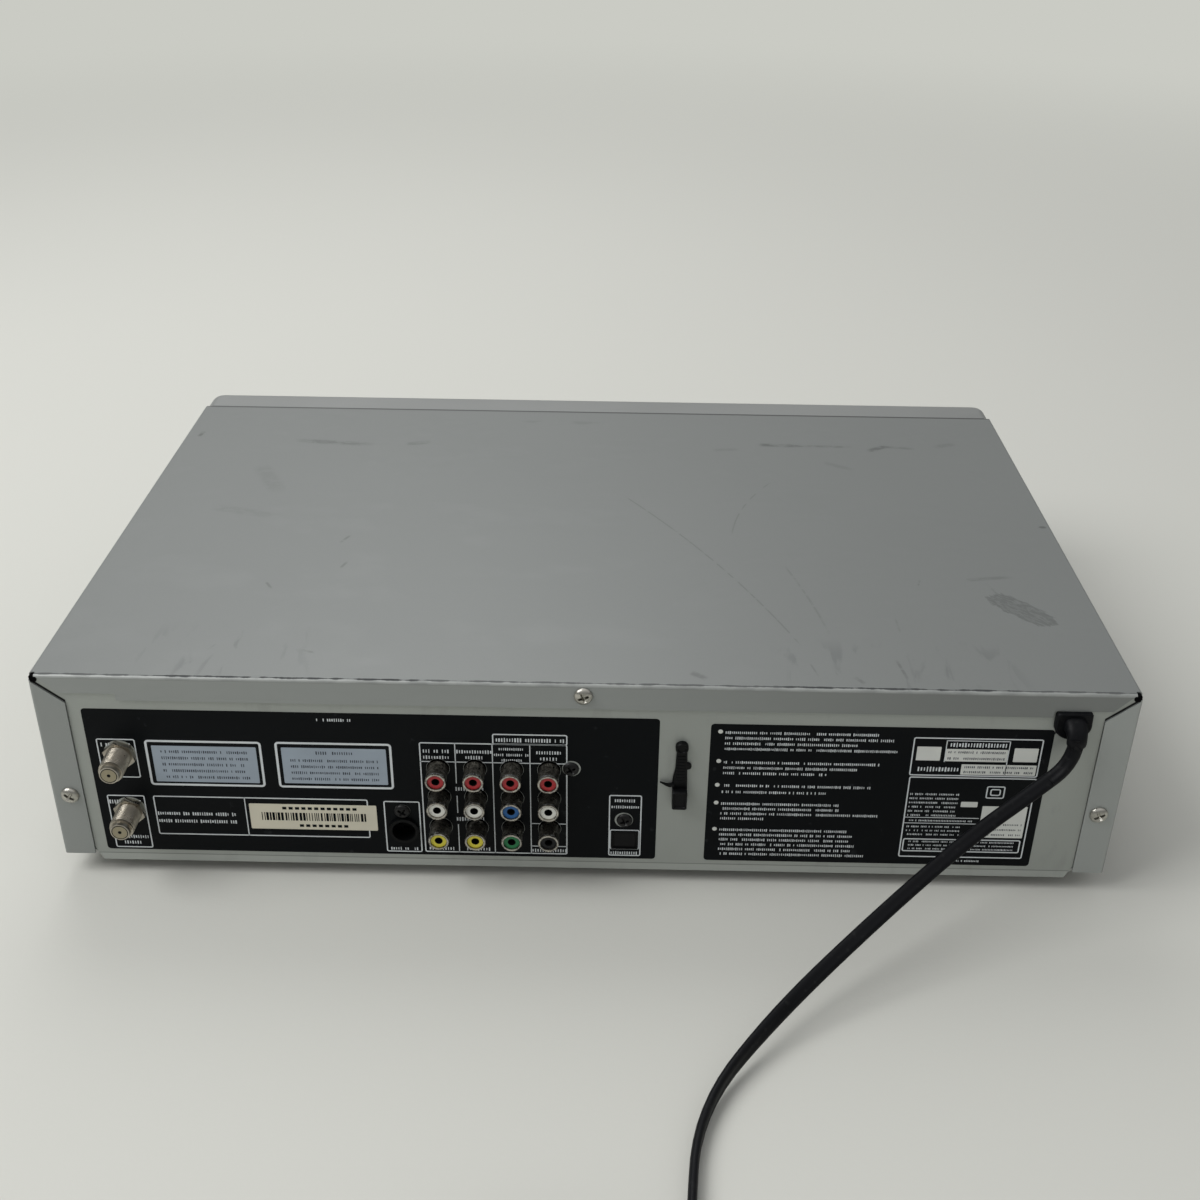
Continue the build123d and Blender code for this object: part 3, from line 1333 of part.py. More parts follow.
# Clamp bridge across the loader, and the puck that hangs in it
with BuildPart() as loader_bridge:
    block(
        (disc_x - loader_out, disc_x + loader_out),
        (disc_y - 20.0, disc_y + 20.0),
        (bridge_z, bridge_z + 1.5),
    )
    for side in (-1, 1):
        leg = sorted((disc_x + side * guide_half, disc_x + side * loader_out))
        block((leg[0], leg[1]), (disc_y - 16.0, disc_y + 16.0), (frame_z1, bridge_z))
    post(disc_x, disc_y, bridge_z, bridge_z + 1.5, puck_r - 2.5, mode=Mode.SUBTRACT)
    with BuildSketch(Plane.XY.offset(bridge_z)):
        for side in (-1, 1):
            with Locations((disc_x + side * 40.0, disc_y)):
                SlotOverall(30.0, 18.0, rotation=90)
    extrude(amount=1.5, mode=Mode.SUBTRACT)
finish(loader_bridge.part, "loader_bridge")

hub_top = tray_high + 1.3
with BuildPart() as clamp_puck:
    post(disc_x, disc_y, hub_top + 0.5, hub_top + 2.2, puck_r - 0.5)
    post(disc_x, disc_y, hub_top + 2.0, bridge_z + 2.0, puck_r - 3.0)
    post(disc_x, disc_y, bridge_z + 1.8, bridge_z + 3.2, puck_r + 0.5)
finish(clamp_puck.part, "clamp_puck")

# Traverse frame: tilts on its rear pins and carries the spindle, the rails and the sled screw
plate_z = hinge_z
rail_top = plate_z + 7.0
rail_half = 28.0
sled_y0 = disc_y + 16.0
sled_l = 22.0
rail_y0 = sled_y0 - 4.0
rail_y1 = sled_y0 + sled_l + sled_travel + 4.0
screw_x = disc_x + 40.0
with BuildPart() as traverse_frame:
    with BuildSketch(Plane.XY.offset(plate_z)):
        with Locations((disc_x, (disc_y - 32.0 + hinge_y + 4.0) / 2)):
            RectangleRounded(2 * traverse_half, hinge_y + 4.0 - disc_y + 32.0, 5.0)
        with Locations((disc_x, (sled_y0 + sled_y0 + sled_l + sled_travel) / 2)):
            RectangleRounded(44.0, sled_l + sled_travel + 2.0, 4.0, mode=Mode.SUBTRACT)
    extrude(amount=3.0)
    for side in (-1, 1):
        pin_ends = sorted((disc_x + side * (traverse_half - 0.5), disc_x + side * (traverse_half + 5.5)))
        rod_x(hinge_y, hinge_z, pin_ends[0], pin_ends[1], 2.0)
        block(
            tuple(sorted((disc_x + side * (traverse_half - 4.0), disc_x + side * traverse_half))),
            (hinge_y - 4.0, hinge_y + 4.0),
            (hinge_z - 3.0, hinge_z + 3.0),
        )
        for post_y in (rail_y0, rail_y1):
            block(
                (disc_x + side * rail_half - 3.0, disc_x + side * rail_half + 3.0),
                (post_y - 2.0, post_y + 2.0),
                (plate_z + 2.0, rail_top + 2.5),
            )
    for post_y in (rail_y0, rail_y1):
        block((screw_x - 3.0, screw_x + 3.0), (post_y - 2.0, post_y + 2.0), (plate_z + 2.0, rail_top + 3.0))
    for side in (-1, 1):
        rod_y(disc_x + side * rail_half, rail_top, rail_y0, rail_y1, 1.5)
    rod_y(screw_x, rail_top, rail_y0 - 2.5, rail_y1 + 2.5, 1.5 + running_gap, mode=Mode.SUBTRACT)
    post(disc_x, disc_y, plate_z - 4.0, plate_z + 0.5, 12.0)
    post(disc_x, disc_y, plate_z - 4.0, plate_z + 3.0, 1.5 + running_gap, mode=Mode.SUBTRACT)
finish(traverse_frame.part, "traverse_frame")

# Spindle with the disc turntable and its centring cone
with BuildPart() as spindle_turntable:
    post(disc_x, disc_y, plate_z - 3.5, tray_high - 1.5, 1.5)
    post(disc_x, disc_y, plate_z + 3.4, plate_z + 8.0, 10.5)
    post(disc_x, disc_y, tray_high - 3.6, tray_high - 1.2, turntable_r)
    with BuildSketch(Plane.XY.offset(tray_high - 1.2)):
        with Locations((disc_x, disc_y)):
            Circle(7.4)
    extrude(amount=2.5, taper=18)
finish(spindle_turntable.part, "spindle_turntable")

# Pickup sled: slides on the rails with the lens in the middle
with BuildPart() as pickup_sled:
    with BuildSketch(Plane.XY.offset(rail_top - 2.6)):
        with BuildLine():
            Polyline(
                (disc_x - rail_half - 4.0, sled_y0 + 3.0),
                (disc_x - 14.0, sled_y0 + 3.0),
                (disc_x - 9.0, sled_y0),
                (disc_x + 9.0, sled_y0),
                (disc_x + 14.0, sled_y0 + 3.0),
                (disc_x + rail_half + 4.0, sled_y0 + 3.0),
                (disc_x + rail_half + 4.0, sled_y0 + sled_l - 3.0),
                (disc_x - rail_half - 4.0, sled_y0 + sled_l - 3.0),
                close=True,
            )
        make_face()
    extrude(amount=5.2)
    for side in (-1, 1):
        rod_y(
            disc_x + side * rail_half,
            rail_top,
            sled_y0,
            sled_y0 + sled_l,
            1.5 + running_gap,
            mode=Mode.SUBTRACT,
        )
    post(disc_x, sled_y0 + 9.0, rail_top + 2.0, rail_top + 4.6, 4.0)
    post(disc_x, sled_y0 + 9.0, rail_top + 4.0, rail_top + 4.6, 2.4, mode=Mode.SUBTRACT)
    block(
        (disc_x + rail_half + 3.5, screw_x - 1.8),
        (sled_y0 + 7.0, sled_y0 + 15.0),
        (rail_top - 1.0, rail_top + 1.0),
    )
finish(pickup_sled.part, "pickup_sled")

with BuildPart() as sled_screw:
    rod_y(screw_x, rail_top, rail_y0 - 2.0, rail_y1 + 6.0, 1.5)
    with BuildSketch(at_y(rail_y1 + 6.0)):
        with Locations((screw_x, rail_top)):
            RegularPolygon(3.8, 12)
    extrude(amount=3.0)
finish(sled_screw.part, "sled_screw")

# Mains cord: down from the bushing, across the floor behind the case and into a coil
coil_low_z = cord_d / 2 + coil_rise
coil_layer = cord_d + coil_gap
coil_y = rear_y + 212.0
coil_x0 = -38.6
cord_route = [
    (exit_x, exit_y, exit_z),
    (exit_x, exit_y, exit_z - 10.5),
    (-177.0, exit_y + 5.0, 60.0),
    (-151.0, exit_y + 15.5, 44.5),
    (-113.0, exit_y + 42.0, 26.0),
    (-73.0, exit_y + 76.0, 9.5),
    (-43.0, exit_y + 115.0, 3.2),
    (coil_x0, exit_y + 163.0, coil_low_z),
    (coil_x0, coil_y - cord_d, coil_low_z),
]


def corner_radii(route):
    """The largest easy arc at each corner of a route."""
    radii = []
    for before, here, after in zip(route, route[1:], route[2:]):
        run_in = Vector(here) - Vector(before)
        run_out = Vector(after) - Vector(here)
        half_turn = radians(run_in.get_angle(run_out)) / 2
        radii.append(0.45 * min(run_in.length, run_out.length) / tan(half_turn))
    return radii


cord_radii = corner_radii(cord_route)
print("cord radii", [round(r, 1) for r in cord_radii])
with BuildPart() as mains_cord:
    with BuildLine() as cord_path:
        FilletPolyline(cord_route, radius=cord_radii)
    cord_wire = cord_path.wires()[0]
    with BuildSketch(Plane(origin=cord_wire @ 0, z_dir=cord_wire % 0)):
        Circle(cord_d / 2)
    sweep(path=cord_wire)
cord_ratio = mains_cord.part.volume / (pi * (cord_d / 2) ** 2 * cord_wire.length)
print("cord length", round(cord_wire.length, 1), "volume ratio", round(cord_ratio, 4))
finish(mains_cord.part, "mains_cord")

# Coil: spirals in on the floor, climbs one layer in a half turn and spirals out on top
turn_step = coil_layer / 2
coil_in = 5
coil_out = 4
with BuildPart() as cord_coil:
    with BuildLine() as coil_path:
        here = Vector(coil_x0, coil_y - cord_d, coil_low_z)
        there = Vector(coil_x0, coil_y, coil_low_z)
        Line(here, there)
        here = there
        way = 1
        for half in range(coil_in + coil_out + 1):
            steps_in = half if half <= coil_in else 2 * coil_in - half
            this_r = coil_r - steps_in * turn_step
            climb = coil_layer if half == coil_in else 0.0
            there = here + Vector(way * 2 * this_r, 0, climb)
            middle = (here + there) * 0.5
            reach = (there - here).length / 2
            ThreePointArc(here, middle + Vector(0, way * reach, 0), there)
            here = there
            way = -way
        corner = here + Vector(coil_r, coil_r, 0)
        bend = here + Vector(coil_r * (1 - cos(pi / 4)), coil_r * sin(pi / 4), 0)
        ThreePointArc(here, bend, corner)
        coil_end = corner + Vector(2.3 * cord_d, 0, 0)
        Line(corner, coil_end)
    coil_wire = coil_path.wires()[0]
    with BuildSketch(Plane(origin=coil_wire @ 0, z_dir=coil_wire % 0)):
        Circle(cord_d / 2)
    sweep(path=coil_wire)
coil_points = [coil_wire @ (index / 500) for index in range(501)]
skip = int(3 * cord_d / coil_wire.length * 500) + 1
least_gap = min(
    (a - b).length - cord_d for index, a in enumerate(coil_points) for b in coil_points[index + skip :]
)
print("coil length", round(coil_wire.length, 1), "least gap", round(least_gap, 2))
finish(cord_coil.part, "cord_coil")

# Tie round the turns on the side where the cord comes in
tie_t = 0.5
tie_x0 = coil_x0 - cord_d / 2 - 0.4
tie_x1 = coil_x0 + 3 * coil_layer + cord_d / 2 + 0.4
tie_top = coil_low_z + coil_layer + cord_d / 2 + 0.3
with BuildPart() as cord_tie:
    block((tie_x0 - tie_t, tie_x1 + tie_t), (coil_y - 2.2, coil_y + 2.2), (0.0, tie_top + tie_t))
    block((tie_x0, tie_x1), (coil_y - 2.3, coil_y + 2.3), (tie_t, tie_top), mode=Mode.SUBTRACT)
    block(
        ((tie_x0 + tie_x1) / 2 - 1.6, (tie_x0 + tie_x1) / 2 + 1.6),
        (coil_y - 1.6, coil_y + 1.6),
        (tie_top + tie_t, tie_top + tie_t + 1.4),
    )
finish(cord_tie.part, "cord_tie")

# Plug: a tapered relief, a moulded grip and two flat blades
plug_z = coil_low_z + coil_layer
plug_y = coil_end.Y
plug_x = coil_end.X + plug_relief
with BuildPart() as plug_body:
    for section_x, section_w, section_h in (
        (coil_end.X, cord_d + 1.6, cord_d + 1.6),
        (plug_x - 3.0, cord_d + 5.0, cord_d + 4.0),
        (plug_x, plug_w - 6.0, 2 * plug_z - 5.0),
    ):
        with BuildSketch(Plane.YZ.offset(section_x)):
            with Locations((plug_y, plug_z)):
                RectangleRounded(section_w, section_h, min(section_w, section_h) * 0.42)
    loft(ruled=True)
    with BuildSketch(Plane.YZ.offset(plug_x)):
        with Locations((plug_y, plug_z)):
            RectangleRounded(plug_w - 4.0, 2 * plug_z - 2.0, 4.0)
    with BuildSketch(Plane.YZ.offset(plug_x + plug_l * 0.6)):
        with Locations((plug_y, plug_z)):
            RectangleRounded(plug_w, 2 * plug_z, 4.0)
    with BuildSketch(Plane.YZ.offset(plug_x + plug_l)):
        with Locations((plug_y, plug_z)):
            RectangleRounded(plug_w - 2.0, 2 * plug_z - 3.0, 4.0)
    loft(ruled=True)
finish(plug_body.part, "plug_body")

with BuildPart() as plug_blades:
    for side in (-1, 1):
        block(
            (plug_x + plug_l, plug_x + plug_l + blade_l),
            (plug_y + side * blade_pitch / 2 - blade_t / 2, plug_y + side * blade_pitch / 2 + blade_t / 2),
            (plug_z - blade_w / 2, plug_z + blade_w / 2),
        )
        rod_y(
            plug_x + plug_l + blade_l - 3.5,
            plug_z,
            plug_y + side * blade_pitch / 2 - blade_t,
            plug_y + side * blade_pitch / 2 + blade_t,
            1.5,
            mode=Mode.SUBTRACT,
        )
finish(plug_blades.part, "plug_blades")
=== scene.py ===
"""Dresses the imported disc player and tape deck: finishes, print, cord and small fittings."""
import functools
import math
import random

import bmesh
import bpy
from bpy.props import FloatProperty, FloatVectorProperty, IntProperty, PointerProperty
from mathutils import Matrix, Vector


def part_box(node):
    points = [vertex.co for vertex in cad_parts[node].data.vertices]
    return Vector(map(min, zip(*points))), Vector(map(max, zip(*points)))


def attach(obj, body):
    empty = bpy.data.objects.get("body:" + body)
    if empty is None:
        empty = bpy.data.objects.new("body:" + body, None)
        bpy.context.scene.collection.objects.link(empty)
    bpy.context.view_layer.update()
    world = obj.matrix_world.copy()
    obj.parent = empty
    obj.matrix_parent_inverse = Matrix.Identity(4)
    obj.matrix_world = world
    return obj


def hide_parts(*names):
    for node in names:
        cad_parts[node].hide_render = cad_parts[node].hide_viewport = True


bl_info = {
    "name": "Disc player and tape deck dresser",
    "version": (1, 0, 0),
    "blender": (4, 5, 0),
    "location": "View3D > Sidebar > Player",
    "description": "Adds finishes, print, a mains cord and fittings to the packed player",
    "category": "Object",
}

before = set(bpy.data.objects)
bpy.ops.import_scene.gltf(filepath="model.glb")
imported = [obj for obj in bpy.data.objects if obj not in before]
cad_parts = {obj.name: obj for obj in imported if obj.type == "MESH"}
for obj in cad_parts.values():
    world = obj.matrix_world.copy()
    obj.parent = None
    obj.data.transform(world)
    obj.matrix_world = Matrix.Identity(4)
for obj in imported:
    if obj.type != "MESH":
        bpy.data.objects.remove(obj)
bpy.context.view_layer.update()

MM = 0.001
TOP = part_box("top_cover")[1].z / MM
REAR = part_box("top_cover")[1].y / MM
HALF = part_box("top_cover")[1].x / MM
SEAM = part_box("top_cover")[0].y / MM
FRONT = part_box("front_bezel")[0].y / MM
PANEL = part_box("rear_panel")[1].y / MM
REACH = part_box("antenna_connectors")[1].y / MM
JACKS = [(x, z) for x in (57.9, 43.1, 28.4, 13.5) for z in (56.2, 42.1, 26.8)]
ANTENNA_X = HALF - 30.5
ANTENNA_Z = (60.5, 32.5)
FLANGE_W = 12.7
BOARD_TOP = 15.1
FRONT_BOARD = FRONT + 13.9
MATERIALS = {}


def paint(red, green, blue):
    """A colour in linear values from the usual 0 to 255 ones."""
    values = []
    for value in (red, green, blue):
        share = value / 255
        values.append(share / 12.92 if share <= 0.04045 else ((share + 0.055) / 1.055) ** 2.4)
    return (*values, 1.0)


def shade(colour, factor):
    """The same colour, darker or lighter."""
    return (*[min(1.0, c * factor) for c in colour[:3]], 1.0)


class Finish:
    """A procedural material that reads Object coordinates in millimetres."""

    def __init__(self, name):
        self.material = bpy.data.materials.new(name)
        self.material.use_nodes = True
        self.tree = self.material.node_tree
        self.shader = self.tree.nodes["Principled BSDF"]
        place = self.tree.nodes.new("ShaderNodeTexCoord").outputs["Object"]
        self.place = self.vector("SCALE", place, scale=1 / MM)
        self.axes = None

    def feed(self, socket, value):
        """Link a socket to another, or set its value."""
        if isinstance(value, bpy.types.NodeSocket):
            self.tree.links.new(value, socket)
        else:
            socket.default_value = value

    def vector(self, operation, a, b=None, scale=None):
        node = self.tree.nodes.new("ShaderNodeVectorMath")
        node.operation = operation
        self.feed(node.inputs[0], a)
        if b is not None:
            self.feed(node.inputs[1], b)
        if scale is not None:
            self.feed(node.inputs["Scale"], scale)
        return node.outputs["Value" if operation in ("LENGTH", "DISTANCE", "DOT_PRODUCT") else "Vector"]

    def math(self, operation, a, b=0.0, c=0.0):
        node = self.tree.nodes.new("ShaderNodeMath")
        node.operation = operation
        for socket, value in zip(node.inputs, (a, b, c)):
            self.feed(socket, value)
        return node.outputs[0]

    def times(self, a, b):
        return self.math("MULTIPLY", a, b)

    def minus(self, a, b):
        return self.math("SUBTRACT", a, b)

    def size(self, value):
        return self.math("ABSOLUTE", value)

    def axis(self, letter):
        """One coordinate of the place, in millimetres."""
        if self.axes is None:
            self.axes = self.tree.nodes.new("ShaderNodeSeparateXYZ")
            self.feed(self.axes.inputs[0], self.place)
        return self.axes.outputs[letter]

    def noise(self, size, detail=3.0, stretch=(1, 1, 1), shift=(0, 0, 0), twist=0.0, place=None):
        """Soft random values from 0 to 1, with grains of about this size."""
        place = self.vector("MULTIPLY", self.vector("ADD", place or self.place, shift), stretch)
        node = self.tree.nodes.new("ShaderNodeTexNoise")
        self.feed(node.inputs["Vector"], place)
        node.inputs["Scale"].default_value = 1 / size
        node.inputs["Detail"].default_value = detail
        node.inputs["Distortion"].default_value = twist
        return node.outputs[0]

    def cells(self, size):
        """How far it is to the middle of random cells of about this size."""
        node = self.tree.nodes.new("ShaderNodeTexVoronoi")
        self.feed(node.inputs["Vector"], self.place)
        node.inputs["Scale"].default_value = 1 / size
        return node.outputs["Distance"]

    def band(self, value, low, high, start=0.0, end=1.0):
        """A smooth step from start to end as the value goes from low to high."""
        node = self.tree.nodes.new("ShaderNodeMapRange")
        node.interpolation_type = "SMOOTHSTEP"
        for socket, number in zip(node.inputs, (value, low, high, start, end)):
            self.feed(socket, number)
        return node.outputs[0]

    def within(self, letter, low, high, soft):
        """1 where a coordinate lies between two limits, with soft ends."""
        rise = self.band(self.axis(letter), low - soft, low + soft)
        fall = self.band(self.axis(letter), high - soft, high + soft, 1.0, 0.0)
        return self.times(rise, fall)

    def turned(self, centre, degrees):
        """Place about a centre on the top, turned about Z: the vector, its length way and its cross way."""
        node = self.tree.nodes.new("ShaderNodeVectorRotate")
        node.rotation_type = "Z_AXIS"
        self.feed(node.inputs["Vector"], self.vector("SUBTRACT", self.place, (*centre, TOP)))
        node.inputs["Angle"].default_value = math.radians(-degrees)
        parts = self.tree.nodes.new("ShaderNodeSeparateXYZ")
        self.feed(parts.inputs[0], node.outputs[0])
        return node.outputs[0], parts.outputs["X"], parts.outputs["Y"]

    def stroke(self, x0, y0, x1, y1, wide):
        """A thin line between two places on the top, with fading ends."""
        length = math.hypot(x1 - x0, y1 - y0)
        _, along, across = self.turned((x0, y0), math.degrees(math.atan2(y1 - y0, x1 - x0)))
        line = self.band(self.size(across), 0.3 * wide, wide, 1.0, 0.0)
        start = self.band(along, 0.0, 0.2 * length)
        end = self.band(along, 0.7 * length, length, 1.0, 0.0)
        return self.all_of(line, start, end)

    def all_of(self, first, *others):
        for other in others:
            first = self.times(first, other)
        return first

    def any_of(self, first, *others):
        for other in others:
            first = self.math("MAXIMUM", first, other)
        return first

    def mix(self, amount, a, b):
        node = self.tree.nodes.new("ShaderNodeMix")
        node.data_type = "RGBA"
        self.feed(node.inputs[0], amount)
        self.feed(node.inputs[6], a)
        self.feed(node.inputs[7], b)
        return node.outputs[2]

    def stain(self, tone, colour, where, strength):
        """Lay a colour over a tone where a mask is 1, at this strength."""
        return self.mix(self.times(where, strength), tone, colour)

    def bump(self, height, depth, normal=None):
        """Bump of this depth in millimetres where height goes from 0 to 1."""
        node = self.tree.nodes.new("ShaderNodeBump")
        node.inputs["Distance"].default_value = depth * MM
        self.feed(node.inputs["Height"], height)
        if normal is not None:
            self.feed(node.inputs["Normal"], normal)
        return node.outputs[0]

    def done(self, colour, rough, metal=0.0, normal=None, **sockets):
        self.feed(self.shader.inputs["Base Color"], colour)
        self.feed(self.shader.inputs["Roughness"], rough)
        self.feed(self.shader.inputs["Metallic"], metal)
        if normal is not None:
            self.feed(self.shader.inputs["Normal"], normal)
        for name, value in sockets.items():
            self.shader.inputs[name.replace("_", " ")].default_value = value
        return self.material


def kept(build):
    """Make the material of a name once, and hand the same one out after that."""

    @functools.wraps(build)
    def finish(name, *values, **settings):
        if name not in MATERIALS:
            MATERIALS[name] = build(Finish(name), *values, **settings)
        return MATERIALS[name]

    return finish


@kept
def plain(make, colour, rough=0.5, metal=0.0, vary=0.06, patch=25.0, grain=0.5, depth=0.03, **sockets):
    """A material with cloudy colour, fine grain, uneven gloss and a light bump."""
    cloud = make.noise(patch, 4.0)
    fine = make.noise(grain, 2.0)
    tone = make.mix(cloud, shade(colour, 1 - vary), shade(colour, 1 + vary))
    tone = make.mix(make.band(fine, 0.3, 0.7, 0.0, 0.35), tone, shade(colour, 1 - 1.6 * vary))
    gloss = make.math("ADD", make.times(cloud, 0.16), rough - 0.08)
    return make.done(tone, gloss, metal, make.bump(fine, depth), **sockets)


class Shape:
    """Points and faces of one piece, in millimetres."""

    def __init__(self):
        self.points = []
        self.faces = []

    def add(self, points, faces):
        base = len(self.points)
        self.points += [Vector(p) for p in points]
        self.faces += [[base + index for index in face] for face in faces]

    def tube(self, rings, close=True):
        """Skin rings of equal count one after another, and cap both ends."""
        count = len(rings[0])
        points = [p for ring in rings for p in ring]
        faces = []
        for row in range(len(rings) - 1):
            for step in range(count):
                after = (step + 1) % count
                low = row * count
                faces.append((low + step, low + after, low + count + after, low + count + step))
        if close:
            faces.append(tuple(reversed(range(count))))
            faces.append(tuple(range(len(points) - count, len(points))))
        self.add(points, faces)

    def turn_y(self, x, z, profile, steps=32, hollow=False):
        """Turn a profile of (y, radius) about an axis along Y; a hollow one closes on itself."""
        if hollow:
            profile = [*profile, profile[0]]
        self.tube([[(a, y, b) for a, b in circle(x, z, r, steps)] for y, r in profile], close=not hollow)

    def slab(self, outline, y0, y1):
        """A flat piece from an outline of (x, z) between two depths."""
        self.tube([[(x, y, z) for x, z in outline] for y in (y0, y1)])

    def mesh(self, name):
        data = bpy.data.meshes.new(name)
        data.from_pydata([p * MM for p in self.points], [], self.faces)
        return data


def tidy_mesh(data, angle=35.0):
    """Point the faces outwards and smooth below an angle."""
    work = bmesh.new()
    work.from_mesh(data)
    bmesh.ops.recalc_face_normals(work, faces=work.faces)
    for face in work.faces:
        face.smooth = True
    work.to_mesh(data)
    work.free()
    data.set_sharp_from_angle(angle=math.radians(angle))
    return data


def placed(name, data):
    """A new object in the scene."""
    obj = bpy.data.objects.new(name, data)
    bpy.context.scene.collection.objects.link(obj)
    return obj


def piece(name, data, material, body="case", angle=35.0):
    """A new object that rides on a body."""
    if isinstance(data, Shape):
        data = data.mesh(name)
    tidy_mesh(data, angle)
    data.name = name
    data.materials.clear()
    data.materials.append(material)
    obj = placed(name, data)
    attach(obj, body)
    return obj


def baked(obj, keep=False):
    """The evaluated mesh of an object, as plain data."""
    bpy.context.view_layer.update()
    graph = bpy.context.evaluated_depsgraph_get()
    data = bpy.data.meshes.new_from_object(obj.evaluated_get(graph))
    if not keep:
        bpy.data.objects.remove(obj)
    return data


def joined(meshes, name):
    """Several meshes as one."""
    work = bmesh.new()
    for data in meshes:
        work.from_mesh(data)
    result = bpy.data.meshes.new(name)
    work.to_mesh(result)
    work.free()
    return result


def round_box(x0, x1, z0, z1, radius, steps=5):
    """Outline of a rectangle with round corners."""
    points = []
    for cx, cz, start in (
        (x1 - radius, z1 - radius, 0),
        (x0 + radius, z1 - radius, 90),
        (x0 + radius, z0 + radius, 180),
        (x1 - radius, z0 + radius, 270),
    ):
        for step in range(steps + 1):
            angle = math.radians(start + 90 * step / steps)
            points.append((cx + radius * math.cos(angle), cz + radius * math.sin(angle)))
    return points


def circle(x, z, radius, steps=28):
    angles = [2 * math.pi * step / steps for step in range(steps)]
    return [(x + radius * math.cos(a), z + radius * math.sin(a)) for a in angles]


def rectangle(x0, x1, z0, z1):
    return [(x0, z0), (x1, z0), (x1, z1), (x0, z1)]


def oval(half_x, half_z, power, steps):
    """Outline between an ellipse and a rectangle: the smaller the power, the squarer."""
    return [
        tuple(half * math.copysign(abs(c) ** power, c) for half, c in ((half_x, x), (half_z, z)))
        for x, z in circle(0, 0, 1, steps)
    ]


def sheet_mesh(name, loops, y0, y1):
    """A thin flat mesh from nested outlines of (x, z), standing between two depths."""
    curve = bpy.data.curves.new(name, "CURVE")
    curve.dimensions = "2D"
    curve.fill_mode = "BOTH"
    curve.extrude = abs(y1 - y0) / 2 * MM
    for loop in loops:
        spline = curve.splines.new("POLY")
        spline.points.add(len(loop) - 1)
        for point, (x, z) in zip(spline.points, loop):
            point.co = (x * MM, z * MM, 0, 1)
        spline.use_cyclic_u = True
    data = baked(placed(name, curve))
    middle = (y0 + y1) / 2 * MM
    data.transform(Matrix(((1, 0, 0, 0), (0, 0, 1, middle), (0, 1, 0, 0), (0, 0, 0, 1))))
    return data


def centre(node):
    """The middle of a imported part, in millimetres."""
    low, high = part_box(node)
    return (low + high) / 2 / MM


def frame_loops(x0, x1, z0, z1, radius, line):
    """Outer and inner outline of a line box."""
    inner = max(0.05, radius - line)
    return [round_box(x0, x1, z0, z1, radius), round_box(x0 + line, x1 - line, z0 + line, z1 - line, inner)]


class Growth:
    """A geometry node tree with named inputs."""

    def __init__(self, name):
        self.tree = bpy.data.node_groups.new(name, "GeometryNodeTree")
        self.tree.interface.new_socket(name="Geometry", in_out="OUTPUT", socket_type="NodeSocketGeometry")
        self.names = {}
        self.source = self.tree.nodes.new("NodeGroupInput")

    def input(self, name, kind, default=None):
        item = self.tree.interface.new_socket(name=name, in_out="INPUT", socket_type="NodeSocket" + kind)
        if default is not None:
            item.default_value = default
        self.names[name] = item.identifier
        return self.source.outputs[name]

    def node(self, kind, inputs=(), **settings):
        node = self.tree.nodes.new(kind)
        for key, value in settings.items():
            setattr(node, key, value)
        for key, value in dict(inputs).items():
            if isinstance(value, bpy.types.NodeSocket):
                self.tree.links.new(value, node.inputs[key])
            else:
                node.inputs[key].default_value = value
        return node

    def close(self, geometry, material):
        """End the tree in Realize Instances and Set Material."""
        real = self.node("GeometryNodeRealizeInstances", {0: geometry})
        coloured = self.node("GeometryNodeSetMaterial", {"Geometry": real.outputs[0], "Material": material})
        end = self.tree.nodes.new("NodeGroupOutput")
        self.tree.links.new(coloured.outputs[0], end.inputs[0])

    def grow(self, base=None, **values):
        """Run the tree once with these values and return the plain mesh."""
        obj = placed("growing", base or bpy.data.meshes.new("seed"))
        modifier = obj.modifiers.new("Grow", "NODES")
        modifier.node_group = self.tree
        for key, value in values.items():
            modifier[self.names[key.replace("_", " ")]] = value
        data = baked(obj, keep=True)
        obj.modifiers.remove(modifier)
        bpy.data.objects.remove(obj)
        return data


# Property groups


def colour_of(name, description, *values):
    """A colour setting, from the usual 0 to 255 values."""
    return FloatVectorProperty(name=name, description=description, subtype="COLOR", default=paint(*values)[:3])


def length_of(name, description, default):
    """A length setting, in metres."""
    return FloatProperty(name=name, description=description, default=default, unit="LENGTH")


class StageProperties(bpy.types.PropertyGroup):
    floor: FloatVectorProperty(
        name="Floor", description="Colour of the floor sheet", subtype="COLOR", default=(0.62, 0.62, 0.575)
    )
    far: colour_of("Far", "Colour that the floor fades to", 202, 203, 196)
    key: FloatProperty(name="Key light", description="Power of the large lamp", default=22.4, unit="POWER")
    fill: FloatProperty(name="Fill", description="Strength of the light all round", default=0.455, min=0.0)
    lens: FloatProperty(name="Lens", description="Focal length", default=43.44, unit="CAMERA")


class CordProperties(bpy.types.PropertyGroup):
    width: length_of("Width", "Width of the flat cord", 0.006)
    thick: length_of("Thickness", "Thickness of the cord", 0.0034)
    relief: length_of("Relief", "Length of the tapered sleeve at the housing", 0.021)
    colour: colour_of("Colour", "Colour of the cord", 10, 11, 14)


class CoverProperties(bpy.types.PropertyGroup):
    colour: colour_of("Cover", "Silver paint of the cover", 121, 124, 122)
    panel: colour_of("Panel", "Painted rear sheet", 158, 162, 157)
    bezel: colour_of("Bezel", "Silver plastic of the front", 136, 138, 136)
    gloss: FloatProperty(name="Roughness", description="Roughness of the paint", default=0.44, min=0.0, max=1.0)
    wear: FloatProperty(name="Wear", description="Strength of scuffs and scratches", default=1.0, min=0.0)


class PrintProperties(bpy.types.PropertyGroup):
    ink: colour_of("Ink", "Dark printed fields", 4, 7, 10)
    line: colour_of("Line", "Pale printed lines", 205, 210, 212)
    plate: colour_of("Plate", "Pale blue-grey plates", 150, 161, 172)
    line_width: length_of("Line width", "Width of lines", 0.0005)
    seed: IntProperty(name="Seed", description="Order of dash lengths", default=7)


